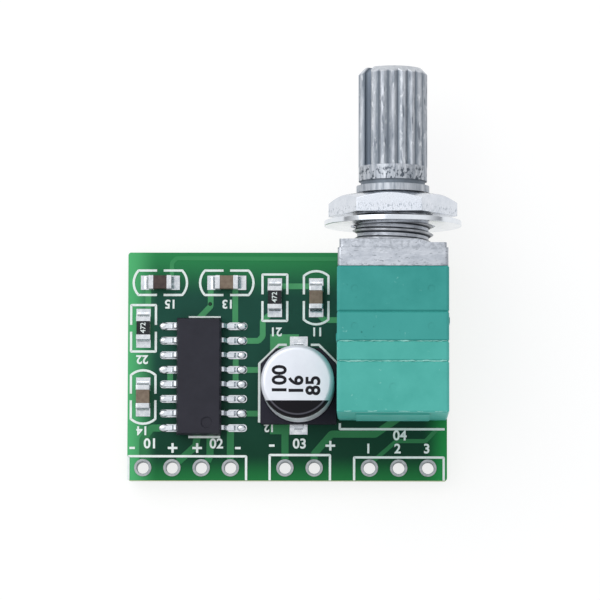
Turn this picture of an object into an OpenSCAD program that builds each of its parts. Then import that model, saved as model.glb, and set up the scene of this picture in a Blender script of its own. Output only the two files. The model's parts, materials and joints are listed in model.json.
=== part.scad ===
// Stereo amplifier board with a panel-mounted volume control.
// Millimetres. The origin is where the control's axis meets the panel seat; the shaft points along +Y,
// and the board lies flat below the axis with its component side up.

/* [Circuit board] */
// Width of the board, along X
board_w = 27.8; // [27:0.1:34]
// Depth of the board, along Y
board_d = 19.9; // [19:0.1:28]
// Thickness of the board
board_t = 1.6; // [0.8:0.1:2.4]
// Radius of the board's corners
board_corner_r = 0.25; // [0.1:0.05:0.8]
// Set-back of the board's front edge from the panel seat
board_set = 0.1; // [0.05:0.05:0.5]

/* [Wire holes] */
// Finished diameter of a wire hole
wire_hole_d = 1.1; // [0.9:0.05:1.2]
// Width of the tinned ring around a wire hole
wire_ring_w = 0.2; // [0.12:0.01:0.3]
// Thickness of the tinned rings and pads
pad_t = 0.06; // [0.03:0.01:0.12]
// Pitch of the wire holes within a group
wire_pitch = 2.54; // [2.3:0.02:2.6]
// Distance of the hole row from the rear edge
wire_row_set = 1.1; // [1:0.05:1.5]
// Free width left of the speaker holes, before the row is spread over the board
speaker_share = 1.35; // [1.1:0.05:1.6]
// Free width between the speaker and power holes, before the spread
power_share = 4.75; // [3:0.05:5]
// Free width between the power and input holes, before the spread
input_share = 4.8; // [3:0.05:5]
// Free width right of the input holes, before the spread
edge_share = 1.66; // [1.2:0.02:2]

/* [Amplifier chip] */
// Width of the chip's moulded body
chip_body_w = 3.9; // [3.5:0.1:4.4]
// Length of the chip's moulded body
chip_body_l = 10.2; // [9.6:0.1:10.6]
// Height of the chip's moulded body
chip_body_h = 1.45; // [1:0.05:2]
// Clearance of the body above the board
chip_standoff = 0.15; // [0.1:0.05:0.4]
// Draft of the moulded walls over half the height
chip_draft = 0.14; // [0.05:0.01:0.3]
// Number of leads along one side
chip_leads_side = 8; // [4:1:8]
// Pitch of the leads
lead_pitch = 1.27; // [1:0.01:1.3]
// Width of one lead
lead_w = 0.42; // [0.3:0.01:0.6]
// Thickness of the lead frame
lead_t = 0.2; // [0.12:0.01:0.3]
// Reach of the lead toes past the body
lead_reach = 1.1; // [0.9:0.05:1.2]
// Length of a lead's foot
lead_foot = 0.6; // [0.4:0.05:0.8]
// Inner radius of a lead's bends
lead_bend = 0.12; // [0.05:0.01:0.2]
// Free width between the left-hand chip parts and the chip's pads, before the spread
chip_share = 0.825; // [0.5:0.025:1]
// Distance of the chip's centre from the front edge
chip_set_y = 10.9; // [9.5:0.1:11.5]
// Side shift of the solder pads against the chip
chip_pad_shift = 0.35; // [0:0.05:0.4]
// Reach of the chip's solder pads past the lead toes
pad_past = 0.75; // [0.5:0.05:0.9]
// Length of one chip solder pad
chip_pad_l = 1.75; // [1.5:0.05:2]
// Width of one chip solder pad
chip_pad_w = 0.66; // [0.5:0.02:0.8]
// Diameter of the dimple that marks the first lead
dimple_d = 0.95; // [0.6:0.05:1.2]
// Depth of that dimple
dimple_h = 0.1; // [0.05:0.01:0.2]
// Distance of the dimple from the body's middle line
dimple_side = 0.7; // [0.5:0.05:0.9]
// Distance of the dimple from the body's end
dimple_end = 1.05; // [0.8:0.05:1.3]

/* [Chip capacitors and resistors] */
// Length of a chip part
smd_l = 2; // [1.8:0.05:2.2]
// Width of a chip part
smd_w = 1.25; // [1.1:0.05:1.4]
// Height of a ceramic capacitor
ceramic_h = 0.8; // [0.6:0.05:1.2]
// Height of a resistor's substrate
substrate_h = 0.45; // [0.35:0.05:0.6]
// Thickness of a resistor's glazed film
film_t = 0.05; // [0.03:0.01:0.1]
// Length of an end cap
end_l = 0.42; // [0.3:0.02:0.55]
// Thickness of an end cap's metal
end_t = 0.04; // [0.02:0.01:0.06]
// Radius of a ceramic block's edges
ceramic_r = 0.08; // [0.04:0.01:0.15]
// Length over the two solder pads of a chip part
smd_pad_span = 3.4; // [3.2:0.05:3.6]
// Gap between the two solder pads of a chip part
smd_pad_gap = 1.1; // [0.9:0.05:1.2]
// Size of the solder fillet at an end cap
fillet_h = 0.42; // [0.3:0.02:0.45]
// Width left free at each side of a solder fillet
fillet_inset = 0.1; // [0.05:0.01:0.2]
// Free width left of the left-hand chip parts, before the spread
left_share = 0.725; // [0.5:0.025:0.9]
// Distance of the front row of capacitors from the front edge
front_row_set = 2.65; // [2:0.05:2.8]
// Free width left of capacitor C5, before the front row is spread over the board
c5_share = 1.1; // [0.9:0.05:1.3]
// Free width between capacitors C5 and C3, before the spread
c3_share = 2.4; // [2:0.05:2.6]
// Free width between capacitor C3 and resistor R1, before the spread
r1_share = 1.875; // [1.5:0.025:2.1]
// Free width between resistor R1 and capacitor C1, before the spread
c1_share = 2.35; // [2:0.05:2.6]
// Free width between capacitor C1 and the control, before the spread
control_share = 1.275; // [1:0.025:1.5]
// Distance of resistor R2 from the front edge
r2_set = 6.64; // [6:0.05:7]
// Distance of capacitor C4 from the front edge
c4_set = 12.64; // [12:0.05:13.5]
// Distance of R1 and C1 from the front edge
pair_set = 3.95; // [3:0.05:4.5]

/* [Electrolytic capacitor] */
// Diameter of the can
can_d = 6.3; // [5:0.1:6.4]
// Height of the can
can_h = 6.6; // [5:0.1:7.5]
// Radius of the can's shoulder
can_shoulder_r = 0.45; // [0.2:0.05:0.8]
// Height of the crimped bead above the can's foot
bead_h = 1.35; // [1.2:0.05:1.8]
// Radius of the bead's groove
bead_r = 0.3; // [0.15:0.05:0.4]
// Wall of the square base beside the can
base_wall = 0.15; // [0.1:0.01:0.2]
// Clearance of the can in its base, on the radius
can_gap = 0.03; // [0.02:0.01:0.05]
// Thickness of the base under the can
base_floor = 0.5; // [0.3:0.05:0.8]
// Height of the base's corner posts
base_post_h = 1.2; // [0.8:0.05:1.4]
// Chamfer of the base's two front corners
base_chamfer = 1.35; // [0.8:0.05:1.6]
// Width of a contact tab
tab_w = 0.8; // [0.5:0.05:1.2]
// Thickness of a contact tab
tab_t = 0.18; // [0.1:0.02:0.25]
// Reach of a contact tab past the base
tab_reach = 0.35; // [0.1:0.05:0.6]
// Distance of a tab's inner end from the can's axis
tab_in = 0.6; // [0.4:0.05:1]
// Reach of a tab's solder pad under the base
pad_under = 1.2; // [0.8:0.05:1.6]
// Width of a solder pad under a tab
tab_pad_w = 1.55; // [1.3:0.05:2]
// Reach of the front solder pad past the base
tab_pad_front = 1.1; // [0.7:0.05:1.3]
// Reach of the rear solder pad past the base
tab_pad_rear = 0.85; // [0.7:0.05:1.2]
// Free width between the chip's pads and the base, before the spread
can_share = 1.2; // [0.8:0.05:1.5]
// Free width between the base and the control, before the spread
base_share = 0.1; // [0.1:0.05:0.3]
// Distance of the can's centre from the front edge
can_set_y = 11.75; // [11:0.05:12]

/* [Control body] */
// Width of the control's body
pot_w = 9.5; // [9.3:0.1:10.2]
// Height of the body's top above the shaft axis
pot_top = 4.75; // [4.6:0.05:5.2]
// Height of the shaft axis above the board
axis_h = 6.5; // [6.2:0.1:7.5]
// Thickness of the front plate, with its raised seat
plate_t = 2.3; // [2:0.1:3]
// Rise of the panel seat on the plate's front
seat_rise = 0.3; // [0.1:0.05:0.5]
// Depth of the plate's stepped front rim, from the seat
rim_depth = 0.75; // [0.55:0.05:1]
// Inset of the plate's stepped front rim
rim_inset = 0.14; // [0.05:0.01:0.3]
// Side inset of the plate against the housings
plate_inset = 0.06; // [0.02:0.01:0.15]
// Width of the panel seat that stays raised
seat_w = 6.7; // [6:0.1:7.4]
// Width of the slope beside the panel seat
seat_slope = 0.95; // [0.4:0.05:1.2]
// Length of the front gang's housing
front_gang_l = 3.9; // [3.4:0.1:5]
// Length of the rear gang's housing
rear_gang_l = 2.5; // [2.4:0.1:3.6]
// Length of the switch's base housing
switch_base_l = 1.7; // [1.4:0.1:2.4]
// Length of the switch's cover
switch_cover_l = 4.35; // [3.8:0.05:5]
// Chamfer on the ends of each housing
case_chamfer = 0.14; // [0.05:0.01:0.3]
// Radius of the housings' long edges
case_r = 0.3; // [0.1:0.05:0.6]
// Side wall of the housings at the round chamber
case_wall = 0.85; // [0.7:0.05:1]
// Wall behind each chamber
gang_wall = 0.6; // [0.4:0.05:0.8]
// Rear wall of the switch's cover
cover_wall = 1; // [0.6:0.05:1.3]
// Rise of the panel on the cover's rear wall
rear_panel_h = 0.15; // [0.1:0.05:0.5]
// Width of that panel
rear_panel_w = 6.3; // [5:0.1:7]
// Distance of that panel from the board
rear_panel_low = 1.4; // [1:0.1:2]
// Distance of that panel from the body's top
rear_panel_drop = 1.2; // [1:0.1:2]
// Diameter of an ejector mark
mark_d = 0.6; // [0.3:0.05:0.9]
// Depth of an ejector mark
mark_h = 0.08; // [0.03:0.01:0.15]
// Distance of the ejector marks from the body's sides
mark_inset = 1.5; // [1.2:0.1:2]
// Reach of the clip noses at the sides
nose_reach = 0.1; // [0.05:0.01:0.2]
// Root of the clip noses inside the wall
nose_root = 0.2; // [0.1:0.05:0.3]
// Start of the left nose, as a share of the rear gang's length
left_nose = 0.62; // [0.04:0.02:0.64]
// Start of the right nose, as a share of the rear gang's length
right_nose = 0.06; // [0.04:0.02:0.64]
// Length of a nose, as a share of the rear gang's length
nose_l = 0.3; // [0.2:0.02:0.34]
// Diameter of an assembly dowel
dowel_d = 0.8; // [0.6:0.05:0.9]
// Depth of a dowel's blind hole in the plate
dowel_bite = 1.2; // [0.8:0.05:1.3]
// Clearance of a dowel in its holes, on the radius
dowel_gap = 0.02; // [0.01:0.01:0.04]
// Wall left around a dowel in the switch's cover
dowel_wall = 0.35; // [0.2:0.05:0.5]
// Wall of the cover left behind a dowel's end
dowel_skin = 0.4; // [0.3:0.05:0.6]
// Inset of the dowels from the body's sides
dowel_inset = 0.7; // [0.65:0.05:0.75]

/* [Control insides] */
// Thickness of an element wafer
wafer_t = 0.7; // [0.5:0.05:0.8]
// Clearance around a wafer in its recess
wafer_gap = 0.05; // [0.03:0.01:0.1]
// Width of a wafer's tail past the outer pins
tail_side = 0.35; // [0.2:0.05:0.4]
// Step of a wafer's seat past the chamber
wafer_lip = 0.2; // [0.1:0.05:0.3]
// Gap between a wafer's tail and the board
wafer_lift = 0.3; // [0.2:0.05:0.6]
// Clearance of the wafer's bore around the neck
wafer_bore_gap = 0.1; // [0.05:0.01:0.2]
// Gap between wafer and rotor
rotor_gap = 0.45; // [0.35:0.05:0.5]
// Gap behind a rotor
rotor_rear_gap = 0.2; // [0.15:0.05:0.25]
// Gap between rotor rim and chamber wall
rotor_rim_gap = 0.6; // [0.5:0.05:0.8]
// Length of the stop lug along the axis
lug_l = 0.7; // [0.5:0.05:1]
// Half angle of the stop lug
lug_half = 7; // [4:1:10]
// Gap at the stop lug's rim and at the stop's rim
lug_gap = 0.1; // [0.05:0.01:0.15]
// Angle left between lug and stop at both ends of the turn
stop_play = 2; // [1:0.5:4]
// Total turn of the control
turn_deg = 300; // [260:5:310]
// Thickness of the carbon track
track_t = 0.04; // [0.02:0.01:0.06]
// Inset of the carbon track from the rotor's rim
track_inset = 0.1; // [0.05:0.05:0.15]
// Width of the carbon track
track_w = 0.7; // [0.5:0.05:0.8]
// Thickness of the wiper spring
wiper_t = 0.15; // [0.1:0.01:0.2]
// Inset of the wiper ring from the rotor's rim
wiper_inset = 0.15; // [0.1:0.05:0.25]
// Width of the wiper ring
wiper_band = 1.15; // [1:0.05:1.2]
// Gap between the wiper's contacts and the track
wiper_gap = 0.03; // [0.02:0.01:0.05]
// Room around the shaft's tail in the housings' walls
hub_room = 0.5; // [0.4:0.05:0.6]
// Pitch of the gang pins
pin_pitch = 2.5; // [2.2:0.05:2.6]
// Width of a gang pin
pin_w = 0.7; // [0.5:0.05:0.8]
// Thickness of a gang pin
pin_t = 0.35; // [0.25:0.05:0.4]
// Room behind the pins in the housings
pin_room = 0.2; // [0.1:0.05:0.3]
// Diameter of the board's pin holes
pin_hole_d = 1; // [0.95:0.05:1.2]
// Reach of the pins below the board
pin_reach = 0.5; // [0.3:0.05:1]
// Height of the solder joints below the board
joint_h = 0.65; // [0.6:0.05:1.2]
// Diameter of the solder joints at the board
joint_d = 1.8; // [1.6:0.05:2]
// Radius of the switch cam's drum
cam_r = 2.1; // [2:0.05:2.3]
// Radius of the switch cam's lobe
lobe_r = 3; // [2.7:0.05:3]
// Half angle of the switch cam's lobe
lobe_half = 16; // [8:1:20]
// Length of the switch cam
cam_l = 1.8; // [1.4:0.1:2]
// Gap in front of the switch cam
cam_set = 0.3; // [0.2:0.05:0.5]
// Gap behind the shaft's tail
tail_play = 0.4; // [0.3:0.05:0.6]
// Thickness of the switch springs
leaf_t = 0.2; // [0.15:0.01:0.25]
// Width of the switch springs
leaf_w = 0.8; // [0.6:0.05:0.85]
// Gap between the cam's lobe and the moving spring
leaf_gap = 0.05; // [0.03:0.01:0.08]
// Open gap between the switch contacts
contact_gap = 0.25; // [0.15:0.05:0.4]

/* [Control shaft] */
// Diameter over the shaft's knurl
shaft_d = 5.9; // [5.6:0.05:6.1]
// Length of the shaft from the panel seat
shaft_l = 15.1; // [13:0.1:25]
// Chamfer of the shaft's tip
tip_chamfer = 0.5; // [0.2:0.05:0.8]
// Length of the knurl
knurl_l = 8.5; // [6:0.1:9]
// Number of teeth round the knurl
knurl_teeth = 20; // [12:2:24]
// Depth of the knurl
knurl_depth = 0.34; // [0.2:0.02:0.45]
// Width of a groove at the crests
knurl_groove = 0.56; // [0.4:0.02:0.6]
// Width of the slot across the tip
slot_w = 0.85; // [0.6:0.05:1.2]
// Angle of the slot in the off position
slot_angle = 142; // [0:2:180]
// Gap between the bushing's end and the shaft's collar
shaft_play = 0.15; // [0.1:0.05:0.4]
// Diameter of the collar in front of the bushing
collar_d = 6.25; // [6.25:0.05:6.6]
// Length of that collar
collar_l = 0.6; // [0.4:0.05:1]
// Diameter of the groove in front of the collar
undercut_d = 5.5; // [5.2:0.05:5.55]
// Length of that groove
undercut_l = 0.4; // [0.2:0.05:0.6]
// Step of the plain band behind the knurl's crests, on the radius
band_drop = 0.02; // [0.01:0.01:0.04]
// Diameter of the neck in the bushing
neck_d = 4.5; // [4.2:0.05:4.6]
// Running clearance of the neck, on the radius
neck_gap = 0.05; // [0.03:0.01:0.08]
// Diameter of the tail inside the body
tail_d = 3; // [2.6:0.05:3.2]
// Width across the tail's flats
tail_flat = 2.4; // [2.1:0.05:2.5]
// Clearance of what is pushed on the tail
tail_gap = 0.03; // [0.02:0.01:0.05]
// Thickness of the retaining clip
clip_t = 0.5; // [0.35:0.05:0.55]
// Outer diameter of the retaining clip
clip_d = 6.4; // [6:0.1:6.6]
// Depth of the clip's groove in the neck
clip_groove = 0.5; // [0.3:0.05:0.6]
// Side play of the clip in its groove and pocket
clip_play = 0.05; // [0.03:0.01:0.08]
// Room around the clip in its pocket
clip_room = 0.3; // [0.2:0.05:0.4]
// Wall of the plate in front of the clip
clip_wall = 1.3; // [1.1:0.05:1.35]

/* [Bushing, nut and washer] */
// Thread diameter of the bushing
bushing_d = 7; // [6.8:0.05:7.2]
// Length of the bushing from the panel seat
bushing_l = 4.2; // [4:0.1:6]
// Chamfer at the bushing's end
bushing_chamfer = 0.35; // [0.2:0.05:0.5]
// Clearance of the nut on the thread, on the radius
thread_gap = 0.05; // [0.03:0.01:0.08]
// Width across the nut's flats
nut_af = 9.6; // [9:0.1:10]
// Thickness of the nut
nut_t = 1.65; // [1.4:0.05:1.8]
// Angle of the nut's corner chamfer
nut_chamfer_deg = 30; // [15:5:40]
// Radial width of that chamfer at a flat's middle
nut_chamfer_in = 0.15; // [0.05:0.05:0.3]
// Angle of the nut on its thread as stored
nut_angle = 4; // [0:1:59]
// Gap between nut and washer
nut_gap = 0.4; // [0.1:0.05:0.5]
// Outer diameter of the washer
washer_d = 11.8; // [11.2:0.1:12.4]
// Bore of the washer, over the thread
washer_slack = 0.1; // [0.06:0.01:0.2]
// Thickness of the washer
washer_t = 0.45; // [0.4:0.05:0.6]
// Distance of the washer from the panel seat
washer_place = 1.5; // [1.2:0.1:1.6]

/* [Hidden] */
$fn = 48;
// Overlap of cutting shapes past a face
cut = 0.5;

// The board's edges and its two faces
board_right = pot_w / 2;
board_left = board_right - board_w;
board_front = -board_set;
board_rear = board_front - board_d;
board_top = -axis_h;
board_bottom = board_top - board_t;

// Wire holes, from left to right, spread over the board's width
wire_y = board_rear + wire_row_set;
hole_spread = (board_w - 6 * wire_pitch) / (speaker_share + power_share + input_share + edge_share);
speaker_x = [for (i = [0:3]) board_left + hole_spread * speaker_share + i * wire_pitch];
power_x = [for (i = [0:1]) speaker_x[3] + hole_spread * power_share + i * wire_pitch];
input_x = [for (i = [0:2]) power_x[1] + hole_spread * input_share + i * wire_pitch];
wire_x = concat(speaker_x, power_x, input_x);

// Sizes that follow from the bodies of the parts
lead_span = chip_body_w + 2 * lead_reach;
chip_pad_span = lead_span + 2 * pad_past;
base_w = can_d + 2 * base_wall;
chip_pad_r = chip_pad_w * 0.45;

// Places of the surface-mounted parts: the middle row, then the front row, each spread over the board's width
mid_spread = (board_w - smd_w - chip_pad_span - base_w - pot_w)
    / (left_share + chip_share + can_share + base_share);
left_x = board_left + mid_spread * left_share + smd_w / 2;
chip_x = left_x + smd_w / 2 + mid_spread * chip_share + chip_pad_span / 2 - chip_pad_shift;
chip_y = board_front - chip_set_y;
r2_at = [left_x, board_front - r2_set];
c4_at = [left_x, board_front - c4_set];
can_x = -pot_w / 2 - mid_spread * base_share - base_w / 2;
can_y = board_front - can_set_y;
front_spread = (board_w - 2 * smd_pad_span - 2 * smd_w - pot_w)
    / (c5_share + c3_share + r1_share + c1_share + control_share);
c5_at = [board_left + front_spread * c5_share + smd_pad_span / 2, board_front - front_row_set];
c3_at = [c5_at[0] + smd_pad_span + front_spread * c3_share, board_front - front_row_set];
c1_at = [-pot_w / 2 - front_spread * control_share - smd_w / 2, board_front - pair_set];
r1_at = [c1_at[0] - smd_w - front_spread * c1_share, board_front - pair_set];
part_z = board_top + pad_t;

// Stations along the control, as depths behind the panel seat
gang1_d = plate_t;
gang2_d = gang1_d + front_gang_l;
base_d = gang2_d + rear_gang_l;
cover_d = base_d + switch_base_l;
end_d = cover_d + switch_cover_l;
track1_d = gang1_d + wafer_t;
track2_d = gang2_d + wafer_t;
rotor1_d = track1_d + rotor_gap;
rotor2_d = track2_d + rotor_gap;
rotor1_end = gang2_d - gang_wall - rotor_rear_gap;
rotor2_end = base_d - gang_wall - rotor_rear_gap;
cam_d = cover_d + cam_set;
tail_end = end_d - cover_wall - tail_play;

// Radii inside the control
chamber_r = pot_w / 2 - case_wall;
rotor_r = chamber_r - rotor_rim_gap;
lug_r = chamber_r - lug_gap;
stop_r = rotor_r + lug_gap;
wafer_r = chamber_r + wafer_lip;
bore_r = neck_d / 2 + neck_gap;
pocket_r = clip_d / 2 + clip_room;
hub_r = tail_d / 2 + hub_room;
wiper_r = rotor_r - wiper_inset;
wiper_in_r = wiper_r - wiper_band;
track_in_r = rotor_r - track_inset - track_w;
wafer_tail_w = 2 * (pin_pitch + pin_w / 2 + tail_side);
// Angles from +X: the stop and the track's opening at the bottom, the clip's opening at the top
stop_at = 270;
track_from = stop_at - 315;
track_to = stop_at - 45;
clip_from = 50;
clip_to = 130;
stop_half = (360 - turn_deg) / 2 - lug_half - stop_play;
lug_angle = stop_at + (360 - turn_deg) / 2;

// Gang pins, switch pins and dowels
gang_pin_x = [-pin_pitch, 0, pin_pitch];
pin1_d = track1_d + pin_t / 2;
pin2_d = track2_d + pin_t / 2;
leaf_x = lobe_r + leaf_gap + leaf_t / 2;
leaf_d = cam_d + cam_l / 2;
pin_low = board_bottom - pin_reach;
// Each entry holds the place of a pin and its section
pin_list = concat(
    [for (x = gang_pin_x) [x, -pin1_d, pin_w, pin_t]],
    [for (x = gang_pin_x) [x, -pin2_d, pin_w, pin_t]],
    [for (s = [-1, 1]) [s * leaf_x, -leaf_d, leaf_t, leaf_w]]
);
dowel_at = [
    [-pot_w / 2 + dowel_inset, pot_top - dowel_inset],
    [pot_w / 2 - dowel_inset, -axis_h + dowel_inset]
];

// Nut and washer, as distances in front of the panel seat
washer_r = bushing_d / 2 + washer_slack;
nut_place = washer_place + washer_t + nut_gap;
nut_r = nut_af / 2 / cos(30);
head_place = bushing_l + shaft_play;
undercut_place = head_place + collar_l;
band_place = undercut_place + undercut_l;
knurl_place = shaft_l - knurl_l;

// Extrudes a front view, drawn in X and Z, from one depth to another
module back(d0, d1) translate([0, -d0, 0]) rotate([90, 0, 0]) linear_extrude(d1 - d0) children();

// Turns a half section, drawn as radius and depth, round the control's axis
module turned() rotate([90, 0, 0]) rotate_extrude() children();

// Extrudes a plan upwards from one height to another
module rise(z0, z1) translate([0, 0, z0]) linear_extrude(z1 - z0) children();

// Extrudes a side view, drawn in Y and Z, from one X to another
module across(x0, x1) translate([x0, 0, 0]) rotate([90, 0, 90]) linear_extrude(x1 - x0) children();

// A rectangle between two corners with rounded corners
module soft_rect(x0, x1, y0, y1, r) {
    translate([x0 + r, y0]) square([x1 - x0 - 2 * r, y1 - y0]);
    translate([x0, y0 + r]) square([x1 - x0, y1 - y0 - 2 * r]);
    for (x = [x0 + r, x1 - r], y = [y0 + r, y1 - r]) translate([x, y]) circle(r = r, $fn = 24);
}

// A plain rectangle between two corners
module box2(x0, x1, y0, y1) translate([x0, y0]) square([x1 - x0, y1 - y0]);

// A sector that reaches past the given radius
module pie(r, a0, a1) {
    n = ceil((a1 - a0) / 30);
    far = r / cos((a1 - a0) / n / 2) + 0.2;
    polygon(concat([[0, 0]], [for (i = [0:n]) let (a = a0 + (a1 - a0) * i / n) far * [cos(a), sin(a)]]));
}

// A flat ring
module ring(r_out, r_in) difference() {
    circle(r = r_out);
    circle(r = r_in);
}

// A round with two flats, as on the shaft's tail
module double_d(gap) intersection() {
    circle(r = tail_d / 2 + gap);
    square([2 * tail_d, tail_flat + 2 * gap], center = true);
}

// The board's pin holes and the dowels' places, as patterns
module at_pins() for (p = pin_list) translate([p[0], p[1]]) children();
module at_dowels(d0, d1, r) for (p = dowel_at) back(d0, d1) translate(p) circle(r = r);

// Board

module circuit_board() color("#1f6b3b") difference() {
    rise(board_bottom, board_top) soft_rect(board_left, board_right, board_rear, board_front, board_corner_r);
    rise(board_bottom - cut, board_top + cut) {
        for (x = wire_x) translate([x, wire_y]) circle(d = wire_hole_d);
        at_pins() circle(d = pin_hole_d);
    }
}

// Tinned rings around the wire holes, on both faces of the board
module wire_rings() color("#c9cdd0") for (x = wire_x) translate([x, wire_y, 0]) {
    rise(board_top, part_z) ring(wire_hole_d / 2 + wire_ring_w, wire_hole_d / 2);
    rise(board_bottom - pad_t, board_bottom) ring(wire_hole_d / 2 + wire_ring_w, wire_hole_d / 2);
}

// A solder joint below the board, closed over the end of its pin
module joint(section) difference() {
    translate([0, 0, board_bottom]) rotate_extrude() polygon([
        [0, 0], [joint_d / 2, 0], [joint_d * 0.3, -joint_h * 0.45], [joint_d * 0.22, -joint_h * 0.85],
        [joint_d * 0.15, -joint_h], [0, -joint_h]
    ]);
    rise(pin_low, board_bottom + cut) square(section, center = true);
}

module pin_solder() color("#c2c7cb")
    for (p = pin_list) translate([p[0], p[1], 0]) joint([p[2], p[3]]);

// A concave fillet that climbs a wall at the origin and runs out along +X
module fillet_profile(size) difference() {
    square(size);
    translate([size, size]) circle(r = size, $fn = 40);
}

// Pads and fillets of one chip part that lies along X
module chip_part_pads() {
    for (s = [0, 180]) rotate(s) {
        rise(board_top, part_z) box2(smd_pad_gap / 2, smd_pad_span / 2, -smd_w / 2, smd_w / 2);
        translate([smd_l / 2, smd_w / 2 - fillet_inset, part_z]) rotate([90, 0, 0])
            linear_extrude(smd_w - 2 * fillet_inset) fillet_profile(fillet_h);
    }
}

// Pads and toe fillets of the amplifier chip
module amplifier_pads() {
    toe = lead_span / 2;
    for (s = [-1, 1], i = [0:chip_leads_side - 1]) {
        y = (i - (chip_leads_side - 1) / 2) * lead_pitch;
        outer = s * chip_pad_span / 2 + chip_pad_shift;
        inner = outer - s * chip_pad_l;
        rise(board_top, part_z)
            soft_rect(min(inner, outer), max(inner, outer), y - chip_pad_w / 2, y + chip_pad_w / 2, chip_pad_r);
        translate([s * toe, y + s * lead_w / 2, part_z]) rotate([90, 0, s > 0 ? 0 : 180])
            linear_extrude(lead_w) fillet_profile(lead_t);
    }
}

// Pads and toe fillets of the electrolytic capacitor's tabs
module tab_pads() {
    for (s = [-1, 1]) {
        reach = s > 0 ? tab_pad_front : tab_pad_rear;
        y0 = base_w / 2 - pad_under;
        y1 = base_w / 2 + reach;
        rise(board_top, part_z) box2(-tab_pad_w / 2, tab_pad_w / 2, s > 0 ? y0 : -y1, s > 0 ? y1 : -y0);
        rotate(s > 0 ? 90 : -90) translate([base_w / 2 + tab_reach, tab_w / 2, part_z]) rotate([90, 0, 0])
            linear_extrude(tab_w) fillet_profile(tab_t);
    }
}

module solder_pads() color("#d3d7da") {
    for (p = [c3_at, c5_at]) translate(p) chip_part_pads();
    for (p = [c1_at, c4_at, r1_at, r2_at]) translate(p) rotate(90) chip_part_pads();
    translate([chip_x, chip_y, 0]) amplifier_pads();
    translate([can_x, can_y, 0]) tab_pads();
}

// Amplifier chip

// Section of the moulded body: widest at the parting line, drafted above and below it
module drafted(w) {
    z0 = chip_standoff;
    z1 = chip_standoff + chip_body_h;
    zm = (z0 + z1) / 2;
    polygon([
        [-w / 2 + chip_draft, z0], [w / 2 - chip_draft, z0],
        [w / 2, zm - lead_t / 2], [w / 2, zm + lead_t / 2],
        [w / 2 - chip_draft, z1], [-w / 2 + chip_draft, z1],
        [-w / 2, zm + lead_t / 2], [-w / 2, zm - lead_t / 2]
    ]);
}

module amplifier_chip() color("#2c2b35") translate([chip_x, chip_y, part_z]) difference() {
    intersection() {
        translate([0, chip_body_l / 2, 0]) rotate([90, 0, 0])
            linear_extrude(chip_body_l) drafted(chip_body_w);
        across(-chip_body_w / 2, chip_body_w / 2) drafted(chip_body_l);
    }
    translate([dimple_side, -chip_body_l / 2 + dimple_end, chip_standoff + chip_body_h - dimple_h])
        cylinder(d = dimple_d, h = dimple_h + cut);
}

// Side view of one gull-wing lead, from the body's wall at the origin's right
module lead_profile() {
    x0 = chip_body_w / 2;
    x3 = lead_span / 2;
    x2 = x3 - lead_foot;
    zm = chip_standoff + chip_body_h / 2;
    r_out = lead_bend + lead_t;
    xs = x2 - lead_bend;
    // Shoulder
    box2(x0, xs - r_out, zm - lead_t / 2, zm + lead_t / 2);
    // Upper bend
    translate([xs - r_out, zm + lead_t / 2 - r_out]) intersection() {
        ring(r_out, lead_bend);
        square(r_out);
    }
    // Shank
    box2(xs - lead_t, xs, r_out, zm + lead_t / 2 - r_out);
    // Lower bend
    translate([xs + lead_bend, r_out]) intersection() {
        ring(r_out, lead_bend);
        box2(-r_out, 0, -r_out, 0);
    }
    // Foot
    box2(xs + lead_bend, x3, 0, lead_t);
}

module chip_leads() color("#c8ccd2") translate([chip_x, chip_y, part_z])
    for (s = [0, 180], i = [0:chip_leads_side - 1])
        rotate(s) translate([0, (i - (chip_leads_side - 1) / 2) * lead_pitch + lead_w / 2, 0])
            rotate([90, 0, 0]) linear_extrude(lead_w) lead_profile();

// Chip capacitors and resistors, which lie along X before they are turned

module ceramic_block() translate([-smd_l / 2 + end_t, 0, 0]) rotate([90, 0, 90])
    linear_extrude(smd_l - 2 * end_t)
        soft_rect(-smd_w / 2 + end_t, smd_w / 2 - end_t, end_t, ceramic_h - end_t, ceramic_r);

module ceramic_ends() difference() {
    for (s = [0, 180]) rotate(s) translate([smd_l / 2 - end_l, 0, 0]) rotate([90, 0, 90])
        linear_extrude(end_l) soft_rect(-smd_w / 2, smd_w / 2, 0, ceramic_h, ceramic_r + end_t);
    ceramic_block();
}

module substrate_block() rise(end_t, end_t + substrate_h)
    box2(-smd_l / 2 + end_t, smd_l / 2 - end_t, -smd_w / 2 + end_t, smd_w / 2 - end_t);

module film_block() rise(end_t + substrate_h, end_t + substrate_h + film_t)
    box2(-smd_l / 2 + end_l, smd_l / 2 - end_l, -smd_w / 2 + end_t, smd_w / 2 - end_t);

module substrate_ends() difference() {
    for (s = [0, 180]) rotate(s) rise(0, substrate_h + 2 * end_t)
        box2(smd_l / 2 - end_l, smd_l / 2, -smd_w / 2, smd_w / 2);
    substrate_block();
}

module lying(at) translate([at[0], at[1], part_z]) children();
module standing(at) translate([at[0], at[1], part_z]) rotate(90) children();

module c1_ceramic() color("#7a5c4a") standing(c1_at) ceramic_block();
module c1_ends() color("#d6d8da") standing(c1_at) ceramic_ends();
module c3_ceramic() color("#7a5c4a") lying(c3_at) ceramic_block();
module c3_ends() color("#d6d8da") lying(c3_at) ceramic_ends();
module c4_ceramic() color("#7a5c4a") standing(c4_at) ceramic_block();
module c4_ends() color("#d6d8da") standing(c4_at) ceramic_ends();
module c5_ceramic() color("#4e3b39") lying(c5_at) ceramic_block();
module c5_ends() color("#d6d8da") lying(c5_at) ceramic_ends();
module r1_substrate() color("#e4e2da") standing(r1_at) substrate_block();
module r1_film() color("#2a292c") standing(r1_at) film_block();
module r1_ends() color("#d6d8da") standing(r1_at) substrate_ends();
module r2_substrate() color("#e4e2da") standing(r2_at) substrate_block();
module r2_film() color("#2a292c") standing(r2_at) film_block();
module r2_ends() color("#d6d8da") standing(r2_at) substrate_ends();

// Electrolytic capacitor

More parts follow.
